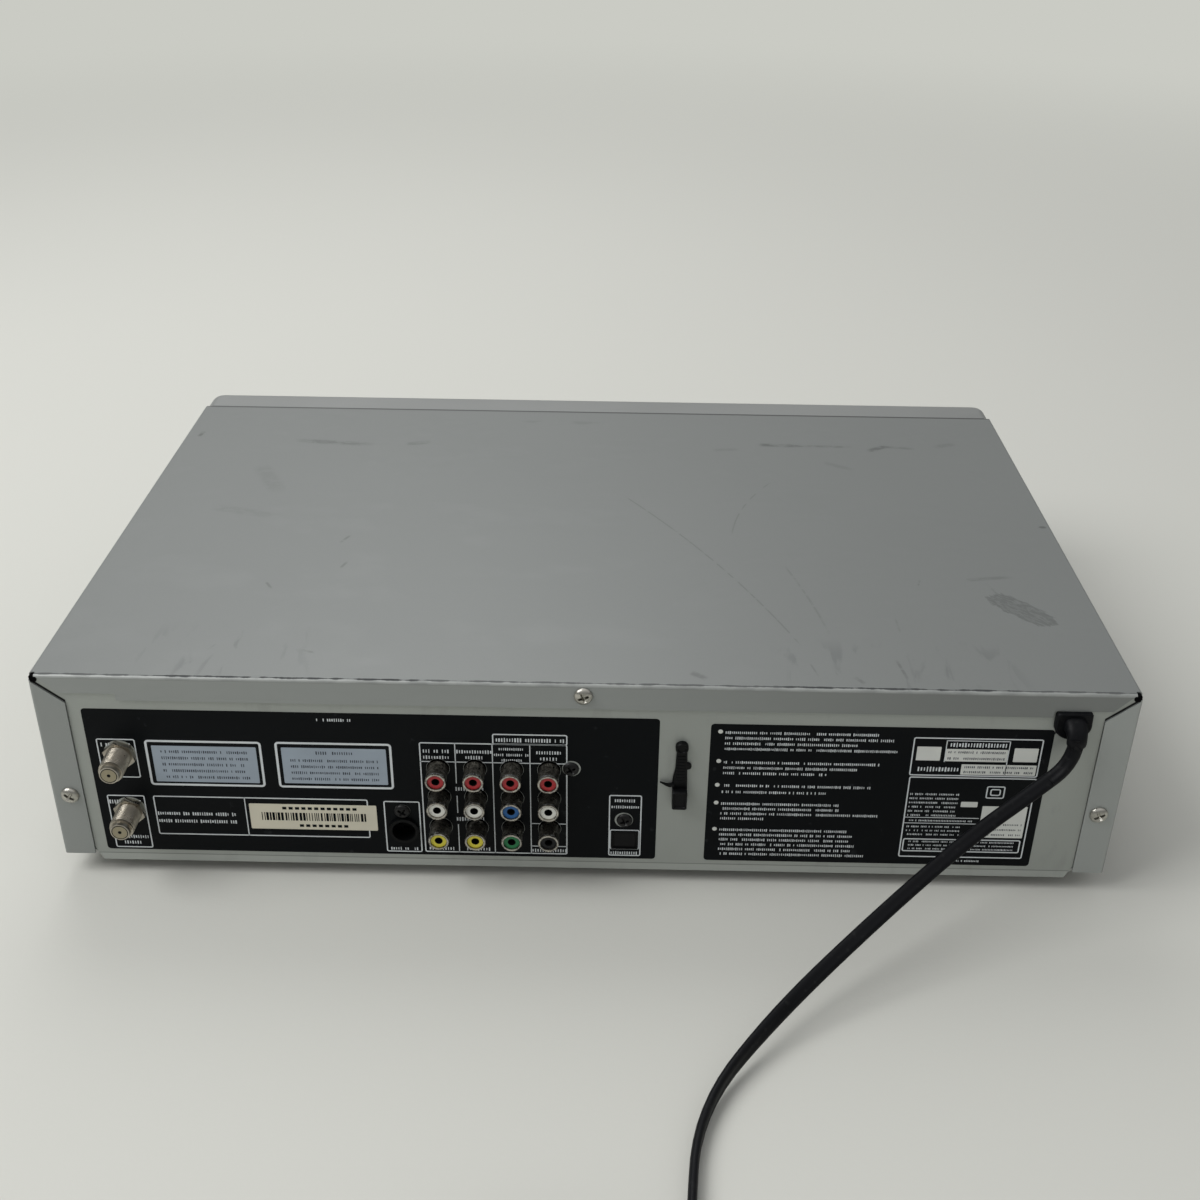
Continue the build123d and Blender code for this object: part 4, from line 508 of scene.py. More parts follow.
class FittingProperties(bpy.types.PropertyGroup):
    pitch: length_of("Thread pitch", "Pitch of the antenna thread", 0.0008)
    head: length_of("Screw head", "Radius of a screw head", 0.0037)
    nickel: colour_of("Nickel", "Plated shells", 178, 172, 160)


# Stage


def camera_matrix():
    """The camera's place and turn, from the photograph's view."""
    right = Vector((-0.9998, -0.01714, 0.01059))
    up = Vector((0.0177, -0.49631, 0.86797))
    back = right.cross(up)
    place = Vector((-0.01114, 0.60649, 0.4022))
    turn = Matrix((right, up, back)).transposed().to_4x4()
    return Matrix.Translation(place) @ turn


class PLAYER_OT_stage(bpy.types.Operator):
    """Make the camera, the lamps, the world and the floor"""

    bl_idname = "player.stage"
    bl_label = "Stage"

    def execute(self, context):
        values = context.scene.player_stage
        lens = bpy.data.cameras.new("camera")
        lens.lens = values.lens
        lens.sensor_width = 36.0
        camera = placed("camera", lens)
        camera.matrix_world = camera_matrix()
        context.scene.camera = camera

        for name, place, aim, size, share in (
            ("key_lamp", (1.25, 0.5, 1.5), (0.0, 0.0, 0.0), 1.3, 1.0),
            ("back_lamp", (0.35, -1.1, 1.5), (0.0, 0.0, 0.05), 1.2, 0.42),
        ):
            lamp = bpy.data.lights.new(name, "AREA")
            lamp.shape = "DISK"
            lamp.size = size
            lamp.energy = values.key * share
            holder = placed(name, lamp)
            holder.location = place
            holder.rotation_euler = (Vector(aim) - Vector(place)).to_track_quat("-Z", "Y").to_euler()

        world = bpy.data.worlds.new("room")
        world.use_nodes = True
        nodes, links = world.node_tree.nodes, world.node_tree.links
        light = nodes["Background"]
        light.inputs["Color"].default_value = (0.98, 0.99, 1.0, 1.0)
        light.inputs["Strength"].default_value = values.fill
        mirror = nodes.new("ShaderNodeBackground")
        way = nodes.new("ShaderNodeSeparateXYZ")
        height = nodes.new("ShaderNodeMapRange")
        links.new(nodes.new("ShaderNodeTexCoord").outputs["Generated"], way.inputs[0])
        links.new(way.outputs["Z"], height.inputs["Value"])
        for socket, number in zip(height.inputs[1:5], (0.05, 0.85, 0.25 * values.fill, 2.0 * values.fill)):
            socket.default_value = number
        links.new(height.outputs[0], mirror.inputs["Strength"])
        shine = nodes.new("ShaderNodeMixShader")
        seen = nodes.new("ShaderNodeBackground")
        seen.inputs["Color"].default_value = (*values.far, 1.0)
        path = nodes.new("ShaderNodeLightPath")
        either = nodes.new("ShaderNodeMixShader")
        links.new(path.outputs["Is Camera Ray"], either.inputs[0])
        links.new(path.outputs["Is Glossy Ray"], shine.inputs[0])
        links.new(light.outputs[0], shine.inputs[1])
        links.new(mirror.outputs[0], shine.inputs[2])
        links.new(shine.outputs[0], either.inputs[1])
        links.new(seen.outputs[0], either.inputs[2])
        links.new(either.outputs[0], nodes["World Output"].inputs["Surface"])
        context.scene.world = world
        self.floor(values)
        context.scene.view_settings.view_transform = "Standard"
        return {"FINISHED"}

    def floor(self, values):
        """A wide round floor sheet that fades to the colour of the room."""
        make = Finish("floor_paper")
        cloud = make.noise(900.0, 2.0)
        grain = make.noise(2.0, 3.0)
        tone = make.mix(cloud, shade(values.floor, 0.975), shade(values.floor, 1.02))
        make.done(tone, 0.85, 0.0, make.bump(grain, 0.05), Specular_IOR_Level=0.2)
        glow = make.tree.nodes.new("ShaderNodeEmission")
        glow.inputs["Color"].default_value = (*values.far, 1.0)
        both = make.tree.nodes.new("ShaderNodeMixShader")
        away = make.vector("LENGTH", make.place)
        make.feed(both.inputs[0], make.band(away, 600.0, 2100.0))
        make.feed(both.inputs[1], make.shader.outputs[0])
        make.feed(both.inputs[2], glow.outputs[0])
        make.feed(make.tree.nodes["Material Output"].inputs["Surface"], both.outputs[0])
        sheet = Shape()
        sides = 64
        rings = [circle(0.0, 0.0, radius, sides) for radius in (900.0, 3000.0, 12000.0, 90000.0)]
        faces = [tuple(range(sides))]
        for low in range(0, sides * (len(rings) - 1), sides):
            high = low + sides
            for step in range(sides):
                after = (step + 1) % sides
                faces.append((low + step, high + step, high + after, low + after))
        sheet.add([(x, y, 0.0) for ring in rings for x, y in ring], faces)
        data = sheet.mesh("floor_sheet")
        data.materials.append(make.material)
        placed("floor_sheet", data)


# Mains cord

COIL_X = -38.6
COIL_Y = 352.0
COIL_LOW = 3.4
COIL_LAYER = 6.5
COIL_R = 43.5
TURN_STEP = 3.3
PLUG_X0 = 25.3
PLUG_Y = 395.5
PLUG_Z = 10.2
HALF_TURN_POINTS = 7


def cord_points():
    """Control points of the cord, from the bushing to the plug, in millimetres."""
    points = [
        (-190.5, 146.0, 80.0),
        (-190.5, 146.0, 69.5),
        (-177.0, 151.0, 60.0),
        (-151.0, 161.5, 44.5),
        (-113.0, 188.0, 26.0),
        (-73.0, 222.0, 9.5),
        (-43.0, 261.0, 3.2),
        (-38.6, 309.0, 3.3),
        (COIL_X, 338.0, COIL_LOW),
    ]
    here = Vector((COIL_X, COIL_Y, COIL_LOW))
    way = 1
    swell = 1 / math.cos(math.pi / HALF_TURN_POINTS / 2)
    for half in range(10):
        inward = half if half <= 5 else 10 - half
        radius = COIL_R - inward * TURN_STEP
        climb = COIL_LAYER if half == 5 else 0.0
        middle = here + Vector((way * radius, 0, 0))
        for step in range(HALF_TURN_POINTS):
            share = (step + 0.5) / HALF_TURN_POINTS
            angle = math.pi * share
            lift = climb * share * share * (3 - 2 * share)
            across = -way * radius * swell * math.cos(angle)
            along = way * radius * swell * math.sin(angle)
            points.append(middle + Vector((across, along, lift)))
        here = here + Vector((2 * way * radius, 0, climb))
        way = -way
    middle = here + Vector((COIL_R, 0, 0))
    for degree in (13, 39, 64):
        angle = math.radians(degree)
        points.append(middle + Vector((-COIL_R * math.cos(angle), COIL_R * math.sin(angle), 0.1)))
    points += [(x, PLUG_Y, PLUG_Z) for x in (middle.x - 8.0, middle.x + 3.0, PLUG_X0 + 0.8)]
    return [Vector(p) for p in points]


def smooth_line(points):
    """Points read from one open NURBS spline through these control points."""
    curve = bpy.data.curves.new("cord_line", "CURVE")
    curve.dimensions = "3D"
    curve.resolution_u = 7
    spline = curve.splines.new("NURBS")
    spline.points.add(len(points) - 1)
    for point, place in zip(spline.points, points):
        point.co = (*[c * MM for c in place], 1.0)
    spline.order_u = 3
    spline.use_endpoint_u = True
    data = baked(placed("cord_line", curve))
    line = [v.co / MM for v in data.vertices]
    clean = [line[0]]
    for place in line[1:]:
        if (place - clean[-1]).length > 0.05:
            clean.append(place)
    return clean


def twin_core(width, thick, groove=0.22, steps=32):
    """Outline of a flat twin cord: a rounded oval with a shallow groove along both faces."""
    outline = []
    for (across, up), (_, s) in zip(oval(width / 2, thick / 2, 0.8, steps), circle(0, 0, 1, steps)):
        dip = groove * math.exp(-((across / 0.8) ** 2)) * (1 if s > 0.05 else -1 if s < -0.05 else 0)
        outline.append((across, up - dip))
    return outline


def swept(line, outline_at, wide_at):
    """Rings of an outline along a line, each turned so that its width follows wide_at."""
    rings = []
    travelled = 0.0
    total = sum((b - a).length for a, b in zip(line, line[1:]))
    for index, here in enumerate(line):
        before = line[max(0, index - 1)]
        after = line[min(len(line) - 1, index + 1)]
        if index:
            travelled += (here - before).length
        ahead = (after - before).normalized()
        wide = wide_at(travelled, total, ahead)
        wide = (wide - ahead * wide.dot(ahead)).normalized()
        flat = ahead.cross(wide)
        rings.append([here + wide * a + flat * b for a, b in outline_at(travelled, total)])
    return rings


def blend_in(value, low, high):
    share = min(1.0, max(0.0, (value - low) / (high - low)))
    return share * share * (3 - 2 * share)


def cord_width_way(travelled, total, ahead):
    """The cord shows its flat side at first, stands on edge in the coil and lies flat at the plug."""
    facing = ahead.cross(Vector((0.2, 0.75, 0.62)))
    upright = Vector((0.0, 0.0, 1.0))
    level = ahead.cross(upright) * -1
    to_edge = blend_in(travelled, 105.0, 235.0)
    to_level = blend_in(travelled, total - 75.0, total - 10.0)
    if facing.dot(upright) < 0:
        facing = -facing
    return (facing * (1 - to_edge) + upright * to_edge) * (1 - to_level) + level * to_level


@kept
def rubber(make, colour, marked=False):
    """Soft black vinyl with a faint sheen and dust, and small raised dashes if marked."""
    cloud = make.noise(14.0, 4.0)
    fine = make.noise(0.5, 3.0)
    dust = make.band(make.noise(3.0, 5.0, shift=(7, 3, 1)), 0.56, 0.72)
    tone = make.mix(cloud, shade(colour, 0.7), shade(colour, 1.4))
    tone = make.stain(tone, paint(80, 80, 78), dust, 0.1)
    gloss = make.band(cloud, 0.3, 0.7, 0.42, 0.54)
    relief = make.bump(fine, 0.03)
    if marked:
        read = []
        for label in ("along", "across"):
            node = make.tree.nodes.new("ShaderNodeAttribute")
            node.attribute_name = label
            read.append(node.outputs["Fac"])
        group = make.band(make.math("FRACT", make.math("DIVIDE", read[0], 31.0)), 0.60, 0.62, 1.0, 0.0)
        dash = make.size(make.minus(make.math("FRACT", make.math("DIVIDE", read[0], 2.1)), 0.5))
        dash = make.band(dash, 0.22, 0.30, 1.0, 0.0)
        middle = make.band(make.size(read[1]), 0.35, 0.55, 1.0, 0.0)
        raised = make.all_of(group, dash, middle)
        tone = make.stain(tone, paint(98, 100, 104), raised, 0.35)
        relief = make.bump(raised, 0.12, relief)
    return make.done(tone, gloss, 0.0, relief, Specular_IOR_Level=0.14)


def mark_lengths(obj, line, outline):
    """Store how far along the cord each point lies, and how far across on its upper face."""
    travelled = 0.0
    along, across = [], []
    for index, here in enumerate(line):
        if index:
            travelled += (here - line[index - 1]).length
        along += [travelled] * len(outline)
        across += [a if b > 0 else 9.0 for a, b in outline]
    for label, values in (("along", along), ("across", across)):
        obj.data.attributes.new(label, "FLOAT", "POINT").data.foreach_set("value", values)


class PLAYER_OT_cord(bpy.types.Operator):
    """Make the mains cord with its coil, sleeve, tie and plug"""

    bl_idname = "player.cord"
    bl_label = "Mains cord"

    def execute(self, context):
        values = context.scene.player_cord
        width = values.width / MM
        thick = values.thick / MM
        relief_length = values.relief / MM
        black = rubber("sleeve_vinyl", tuple(values.colour))
        line = smooth_line(cord_points())
        outline = twin_core(width, thick)
        cord = Shape()
        cord.tube(swept(line, lambda s, total: outline, cord_width_way))
        vinyl = rubber("cord_vinyl", tuple(values.colour), marked=True)
        cord = piece("flat_cord", cord, vinyl, angle=60)
        mark_lengths(cord, line, outline)
        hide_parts("mains_cord", "cord_coil")
        self.bushing(black)

        start = [line[0] + Vector((0, 0, 1.5))]
        travelled = 0.0
        for before, here in zip(line, line[1:]):
            travelled += (here - before).length
            if travelled > relief_length:
                break
            start.append(here)

        def sleeve(s, total):
            grow = 0.75 * (1 - blend_in(s, -0.3 * total, total)) + 0.05
            return twin_core(width + 2 * grow, thick + 2 * grow, groove=0.15)

        relief = Shape()
        relief.tube(swept(start, sleeve, cord_width_way))
        relief = piece("cord_sleeve", relief, black, angle=50)

        tie = self.tie()
        plug = self.plug()
        return {"FINISHED"}

    def bushing(self, black):
        """A D-shaped flange on the panel with a smooth elbow that turns the cord down."""
        low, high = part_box("cord_bushing")
        drop = 6.1
        x, z, half = (low.x + high.x) / 2 / MM, high.z / MM - drop, (high.x - low.x) / 2 / MM
        bushing = Shape()
        rings = []
        for lift, share in ((0.0, 1.0), (1.9, 1.0), (2.4, 0.965), (2.6, 0.9), (2.35, 0.8)):
            y = PANEL + lift
            ring = []
            for px, pz in round_box(-half, half, -1.0, drop, 1.7, 6)[:12]:
                ring.append((x + px * share, y, z + pz * share))
            for step in range(25):
                angle = math.pi + math.pi * step / 24
                ring.append((x + half * share * math.cos(angle), y, z + (drop * math.sin(angle)) * share))
            rings.append(ring)
        bushing.tube(rings)
        bushing.slab(round_box(x - half + 1.4, x + half - 1.4, z - 4.7, z + 4.7, 1.2), PANEL - 6.8, PANEL + 0.5)
        exit_x = x - 0.6
        rings = []
        for step in range(13):
            angle = math.pi / 2 * step / 12
            share = math.sin(angle)
            middle = Vector((exit_x, PANEL + 1.2 + 5.6 * share, z - 4.0 + 4.6 * math.cos(angle)))
            ahead = Vector((0, math.cos(angle), -share))
            flat = Vector((-1, 0, 0)).cross(ahead)
            outline = twin_core(2 * (4.8 - 1.0 * share), 2 * (4.0 - 1.45 * share), groove=0.1 + 0.1 * share)
            rings.append([middle + Vector((-1, 0, 0)) * a + flat * b for a, b in outline])
        last = rings[-1]
        middle = sum(last, Vector()) / len(last)
        rings.append([middle + (point - middle) * 0.96 + Vector((0, 0, -1.2)) for point in last])
        rings.append([middle + (point - middle) * 0.86 + Vector((0, 0, -1.8)) for point in last])
        bushing.tube(rings)
        bushing = piece("bushing_elbow", bushing, black, angle=40)
        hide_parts("cord_bushing")

    def tie(self):
        """A thin strap round the turns, with a small buckle and its free end."""
        x0, x1 = COIL_X - 3.3, COIL_X + 3 * 6.6 + 3.3
        z1 = COIL_LOW + COIL_LAYER + 3.3
        outer = round_box(x0 - 0.25, x1 + 0.25, 0.05, z1 + 0.45, 2.4, 6)
        inner = round_box(x0 + 0.15, x1 - 0.15, 0.35, z1, 2.1, 6)
        strap = sheet_mesh("strap", [outer, inner], COIL_Y - 2.1, COIL_Y + 2.1)
        buckle = Shape()
        middle = (x0 + x1) / 2
        buckle.slab(round_box(middle - 3.0, middle + 3.0, z1 + 0.3, z1 + 1.6, 0.5), COIL_Y - 1.9, COIL_Y + 1.9)
        buckle.slab(round_box(middle - 1.0, middle + 6.5, z1 + 0.75, z1 + 1.2, 0.2), COIL_Y - 1.5, COIL_Y + 1.5)
        data = joined([strap, buckle.mesh("buckle")], "cord_strap")
        tie = piece("cord_strap", data, plain("strap_plastic", paint(22, 23, 25), 0.45))
        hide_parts("cord_tie")
        return tie

    def plug(self):
        """A moulded plug: a ringed taper that widens to a rounded grip."""
        black = rubber("plug_vinyl", paint(20, 21, 23))
        plug = Shape()
        plug.tube([
            [(x, PLUG_Y + across, PLUG_Z + up) for across, up in oval(half_y, half_z, 2 / power, 36)]
            for x, half_y, half_z, power in self.plug_sections()
        ])
        plug = piece("plug_grip", plug, black, angle=40)
        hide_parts("plug_body")
        return plug

    def plug_sections(self):
        """Places along the plug with half width, half height and squareness."""
        sections = []
        start = PLUG_X0
        for step in range(9):
            x = start + 2.6 * step
            half_y = 3.9 + 0.30 * step
            half_z = 2.9 + 0.28 * step
            for along, grow in ((0.0, 0.0), (1.5, 0.2), (1.6, -0.6), (2.5, -0.6))[: 4 if step < 8 else 2]:
                sections.append((x + along, half_y + grow, half_z + grow, 2.4))
        grip = (
            (24.6, 8.4, 6.2, 3.0),
            (27.5, 10.6, 8.4, 3.6),
            (31.0, 11.9, 9.6, 4.0),
            (36.0, 12.2, 9.8, 4.0),
            (42.0, 12.4, 9.9, 4.0),
            (48.0, 12.7, 10.0, 4.0),
            (51.5, 12.9, 10.1, 4.2),
            (53.2, 12.6, 9.9, 4.2),
            (54.0, 11.8, 9.2, 4.2),
        )
        return sections + [(start + x, y, z, p) for x, y, z, p in grip]


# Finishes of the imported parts


GRIME = paint(88, 91, 89)

# Strokes on the top as x0, y0, x1, y1, width, strength: short scratches, nicks and drawn-out smudges
MARKS_ON_TOP = (
    (-123.5, 117.0, -126.1, 133.3, 0.9, 0.55),
    (-89.0, 121.0, -91.4, 131.0, 0.6, 0.4),
    (-163.0, 50.9, -187.0, 47.0, 1.9, 0.42),
    (-172.5, 52.0, -176.0, 64.0, 0.7, 0.3),
    (-84.0, -92.6, -108.0, -91.7, 2.6, 0.85),
    (-98.0, -91.9, -136.0, -91.7, 1.6, 0.75),
    (-141.0, -86.5, -154.0, -94.5, 2.6, 0.8),
    (-146.0, -93.0, -168.0, -90.3, 1.8, 0.5),
    (-116.0, -72.0, -132.0, -62.0, 2.6, 0.25),
    (-60.0, -84.5, -76.0, -86.5, 2.4, 0.25),
    (-176.0, -93.0, -190.0, -98.0, 3.0, 0.3),
    (113.6, 25.7, 109.7, 17.6, 1.0, 0.6),
    (109.4, 50.2, 106.9, 42.7, 1.0, 0.6),
    (139.0, 63.0, 135.2, 69.4, 0.9, 0.6),
    (113.2, 117.9, 106.9, 120.1, 1.0, 0.5),
    (-128.4, 84.7, -128.7, 97.1, 0.6, 0.4),
    (-142.8, 56.7, -144.5, 51.1, 0.6, 0.6),
    (-105.0, 130.6, -109.1, 135.7, 1.4, 0.5),
    (-41.3, 129.2, -48.3, 134.3, 2.2, 0.6),
    (208.0, -91.0, 206.6, -99.0, 1.5, 0.9),
    (158.0, -88.5, 112.0, -84.5, 3.4, 0.6),
    (99.0, -85.5, 85.0, -89.5, 2.8, 0.55),
    (181.0, -9.0, 144.0, 1.0, 4.5, 0.22),
    (168.0, -58.0, 151.0, -23.0, 6.0, 0.22),
)

# Long scratches as parts of circles: centre x and y, radius, half width, x limits, y limits, strength
ARCS_ON_TOP = (
    (460.4, 308.8, 582.9, 0.34, (-86, -16), (-28, 106), 0.5),
    (-187.6, 26.5, 123.6, 0.32, (-88, -64), (-45, 9), 0.42),
    (335.9, 165.4, 440.5, 0.45, (-100, -86), (42, 97), 0.34),
)


def marks_on_top(make, tone, upper, wear):
    """Scuffed patch, scratches and smudges: the new tone and the mask of the scuffed patch."""
    # A ragged blot of streaks along its length
    about, along, across = make.turned((-183.0, 76.0), 130.5)
    along = make.math("POWER", make.size(make.math("DIVIDE", along, 18.0)), 4.0)
    across = make.math("POWER", make.size(make.math("DIVIDE", across, 7.4)), 2.0)
    ragged = make.noise(2.6, 4.0, stretch=(0.4, 1.0, 1.0), twist=0.8, place=about)
    spread = make.math("ADD", make.math("ADD", along, across), make.times(ragged, 1.5))
    streaks = make.noise(1.6, 4.0, stretch=(0.3, 1.0, 1.0), shift=(5, 5, 0), twist=1.6, place=about)
    streaks = make.band(streaks, 0.36, 0.56, 0.45, 1.0)
    scuff = make.all_of(make.band(spread, 1.35, 1.6, 1.0, 0.0), streaks, upper)
    tone = make.stain(tone, GRIME, scuff, 0.7 * wear)

    broken = make.band(make.noise(2.4, 4.0, stretch=(0.5, 1, 1), shift=(2, 8, 0)), 0.36, 0.56, 0.25, 1.0)
    for *ends, wide, strength in MARKS_ON_TOP:
        line = make.all_of(make.stroke(*ends, wide), broken, upper)
        tone = make.stain(tone, GRIME, line, strength * wear)

    for centre_x, centre_y, radius, half_line, limits_x, limits_y, strength in ARCS_ON_TOP:
        away = make.vector("DISTANCE", make.place, (centre_x, centre_y, TOP))
        line = make.band(make.size(make.minus(away, radius)), half_line * 0.5, half_line * 1.6, 1.0, 0.0)
        gaps = make.band(make.noise(6.0, 3.0), 0.38, 0.52)
        reach = make.all_of(make.within("X", *limits_x, 3.0), make.within("Y", *limits_y, 3.0))
        tone = make.stain(tone, GRIME, make.all_of(line, gaps, reach, upper), strength * wear)

    # A nick at the right edge and a faint broken smudge near the front
    for x, y, wide, deep, strength in (
        (-211.0, -2.0, 2.2, 1.4, 0.9),
        (20.0, -118.0, 30.0, 3.0, 0.25),
    ):
        dx = make.math("DIVIDE", make.minus(make.axis("X"), x), wide)
        dy = make.math("DIVIDE", make.minus(make.axis("Y"), y), deep)
        blot = make.band(make.math("ADD", make.times(dx, dx), make.times(dy, dy)), 0.2, 1.0, 1.0, 0.0)
        if wide > 10:
            blot = make.times(blot, make.band(make.noise(9.0, 5.0, stretch=(0.5, 1, 1)), 0.52, 0.64))
        tone = make.mix(make.all_of(blot, upper, strength * wear), tone, GRIME)
    return tone, scuff


def worn_and_highlit_rear(make, tone, upper, wear):
    """Rear bend worn to bright metal and given a painted highlight, with chips and a seam line: the new tone and
    the chips' mask.
    """
    near_rear = make.minus(REAR, make.axis("Y"))
    near_top = make.minus(TOP, make.axis("Z"))
    # Bright line along the rear bend: partly wear to bare metal, partly a painted highlight on the bend
    bend = make.all_of(make.band(near_rear, 0.8, 1.2, 1.0, 0.0), make.band(near_top, 0.8, 1.5, 1.0, 0.0))
    bright = make.times(bend, make.band(make.noise(12.0, 4.0), 0.35, 0.6, 0.5, 1.0))
    tone = make.stain(tone, paint(196, 199, 195), bright, 0.4)
    wander = make.times(make.noise(11.0, 3.0, stretch=(1, 0, 0), shift=(2, 0, 0)), 1.1)
    ridge = make.size(make.minus(near_rear, make.math("ADD", wander, 0.85)))
    chip_noise = make.noise(7.0, 4.0, stretch=(1, 0.2, 0.2), shift=(11, 0, 4))
    chip_zone = make.any_of(make.within("X", 60.0, 172.0, 9.0), make.within("X", -172.0, -70.0, 12.0), 0.7)
    wide = make.band(chip_noise, 0.36, 0.60, 0.12, 0.95)
    chips = make.all_of(make.band(make.math("DIVIDE", ridge, wide), 0.4, 1.0, 1.0, 0.0), chip_zone, upper)
    tone = make.stain(tone, paint(34, 36, 38), chips, 0.9)
    smear = make.noise(7.0, 4.0, stretch=(1.0, 0.22, 1), shift=(40, 9, 0), twist=0.6)
    smear_zone = make.any_of(
        make.all_of(make.within("X", -168.0, -74.0, 12.0), make.within("Y", 108.0, 141.0, 8.0)),
        make.all_of(make.within("X", 112.0, 174.0, 12.0), make.within("Y", 104.0, 139.0, 8.0)),
    )
    smear = make.all_of(make.band(smear, 0.56, 0.66), smear_zone, upper, 0.34 * wear)
    tone = make.mix(smear, tone, paint(84, 87, 88))
    seam = make.band(make.axis("Y"), SEAM + 0.6, SEAM + 1.1, 1.0, 0.0)
    tone = make.stain(tone, paint(40, 42, 42), seam, 0.75)
    return tone, chips


def lit_bends(make, tone, colour, cloud):
    """Rear flanges painted lighter than the top for the light they catch, the top one on its +X side, and painted
    highlights along the side bends.
    """
    near_top = make.minus(TOP, make.axis("Z"))
    inward = make.minus(HALF, make.size(make.axis("X")))
    below = make.band(make.minus(near_top, inward), 0.0, 0.3)
    rear_face = make.band(make.axis("Y"), REAR - 0.3, REAR - 0.2)
    flange = make.all_of(below, make.band(inward, FLANGE_W + 0.2, FLANGE_W + 0.4, 1.0, 0.0), rear_face)
    # Painted light: lighter copies of the paint on the rear lip, more on its +X side, and on the side flanges
    lit_from = make.band(make.axis("X"), -170.0, 10.0)
    lip = make.all_of(rear_face, make.band(near_top, 0.9, 1.6), lit_from)
    tone = make.mix(lip, tone, make.mix(cloud, shade(colour, 1.46), shade(colour, 1.54)))
    side_tone = make.mix(lit_from, shade(colour, 1.74), shade(colour, 1.42))
    tone = make.mix(flange, tone, side_tone)

    # Painted highlight lines along the side bends
    side_bend_highlight = make.all_of(make.band(inward, 0.3, 0.9, 1.0, 0.0), make.band(near_top, 0.3, 0.9, 1.0, 0.0))
    tone = make.stain(tone, paint(190, 192, 188), side_bend_highlight, 0.45)
    return tone


def cover_paint(values):
    """Silver paint: flake, faint clouds, marks of use, a worn rear edge with a painted highlight on its bend and
    rear flanges painted lighter for the light they catch.
    """
    make = Finish("cover_silver")
    colour = (*values.colour, 1.0)
    flake = make.noise(0.35, 2.0)
    cloud = make.noise(120.0, 3.0)
    haze = make.band(make.noise(38.0, 5.0, stretch=(1, 1.5, 1), shift=(31, 7, 0)), 0.50, 0.72)
    tone = make.mix(cloud, shade(colour, 0.965), shade(colour, 1.035))
    tone = make.mix(make.band(flake, 0.35, 0.65, 0.0, 0.22), tone, shade(colour, 0.86))
    tone = make.stain(tone, shade(colour, 1.1), haze, 0.16)

    upper = make.band(make.axis("Z"), TOP - 0.6, TOP - 0.3)
    tone, scuff = marks_on_top(make, tone, upper, values.wear)
    tone, chips = worn_and_highlit_rear(make, tone, upper, values.wear)
    tone = lit_bends(make, tone, colour, cloud)
    gloss = make.math("ADD", make.times(haze, -0.05), values.gloss)
    gloss = make.math("ADD", gloss, make.times(make.any_of(scuff, chips), 0.25))
    flat = make.bump(flake, 0.012)
    waves = make.noise(70.0, 2.0, stretch=(1, 0.7, 1))
    return make.done(tone, gloss, 0.25, make.bump(waves, 0.08, flat))


def panel_paint(values):
    """Rear sheet: stained paint, a strip below its crease painted lighter as a highlight, a darker line along the
    crease and painted shadow in the gap behind the cover's mitres.
    """
    make = Finish("panel_silver")
    colour = (*values.panel, 1.0)
    cloud = make.noise(60.0, 4.0)
    flake = make.noise(0.4, 2.0)
    tone = make.mix(cloud, shade(colour, 0.95), shade(colour, 1.05))
    tone = make.mix(make.band(flake, 0.35, 0.65, 0.0, 0.25), tone, shade(colour, 0.85))
    stain = make.band(make.noise(10.0, 5.0, stretch=(1, 1, 0.4)), 0.56, 0.72)
    tone = make.stain(tone, paint(96, 98, 92), stain, 0.16)
    # Painted highlight: the strip below the crease is lighter where the bottom bend catches light
    fold_highlight = make.band(make.axis("Z"), 9.6, 10.0, 1.0, 0.0)
    tone = make.stain(tone, paint(178, 182, 178), fold_highlight, 0.35)
    # Painted shadow: near black where the panel shows through the gap of the cover's mitred corners
    outward = make.minus(make.size(make.axis("X")), HALF - FLANGE_W)
    above = make.minus(make.axis("Z"), TOP - FLANGE_W)
    over = make.minus(make.times(above, 0.78), make.times(outward, 0.626))
    outer = make.band(make.axis("Y"), PANEL - 0.3, PANEL - 0.1)
    gap = make.all_of(make.band(over, 0.85, 0.95, 1.0, 0.0), make.band(outward, -0.2, -0.05), outer)
    tone = make.mix(gap, tone, paint(10, 11, 11))
    crease = make.within("Z", 9.7, 10.1, 0.15)
    tone = make.stain(tone, paint(74, 78, 76), crease, 0.5)
    gloss = make.band(cloud, 0.3, 0.7, 0.4, 0.5)
    return make.done(tone, gloss, 0.35, make.bump(flake, 0.012))


def bezel_plastic(values):
    """Silver-painted plastic with a dark line at the seam."""
    make = Finish("bezel_silver")
    colour = (*values.bezel, 1.0)
    cloud = make.noise(80.0, 3.0)
    flake = make.noise(0.3, 2.0)
    tone = make.mix(cloud, shade(colour, 0.96), shade(colour, 1.04))
    tone = make.mix(make.band(flake, 0.35, 0.65, 0.0, 0.18), tone, shade(colour, 0.88))
    seam = make.band(make.axis("Y"), SEAM - 0.9, SEAM - 0.5)
    tone = make.stain(tone, paint(44, 46, 46), seam, 0.8)
    rub = make.band(make.noise(16.0, 5.0, stretch=(0.4, 1, 1)), 0.6, 0.72)
    tone = make.stain(tone, paint(110, 112, 110), rub, 0.12)
    gloss = make.band(cloud, 0.3, 0.7, 0.36, 0.44)
    return make.done(tone, gloss, 0.25, make.bump(flake, 0.01))


@kept
def zinc(make, colour, rough=0.38):
    """Plated steel with a faint spangle and finger marks."""
    cells = make.cells(5.0)
    cloud = make.noise(22.0, 4.0)
    tone = make.mix(make.times(cells, 0.3), shade(colour, 1.04), shade(colour, 0.86))
    tone = make.mix(make.band(cloud, 0.45, 0.7, 0.0, 0.3), tone, shade(colour, 0.85))
    gloss = make.band(cloud, 0.3, 0.7, rough - 0.06, rough + 0.1)
    fine = make.noise(0.6, 2.0, stretch=(0.2, 1, 1))
    return make.done(tone, gloss, 0.85, make.bump(fine, 0.01))


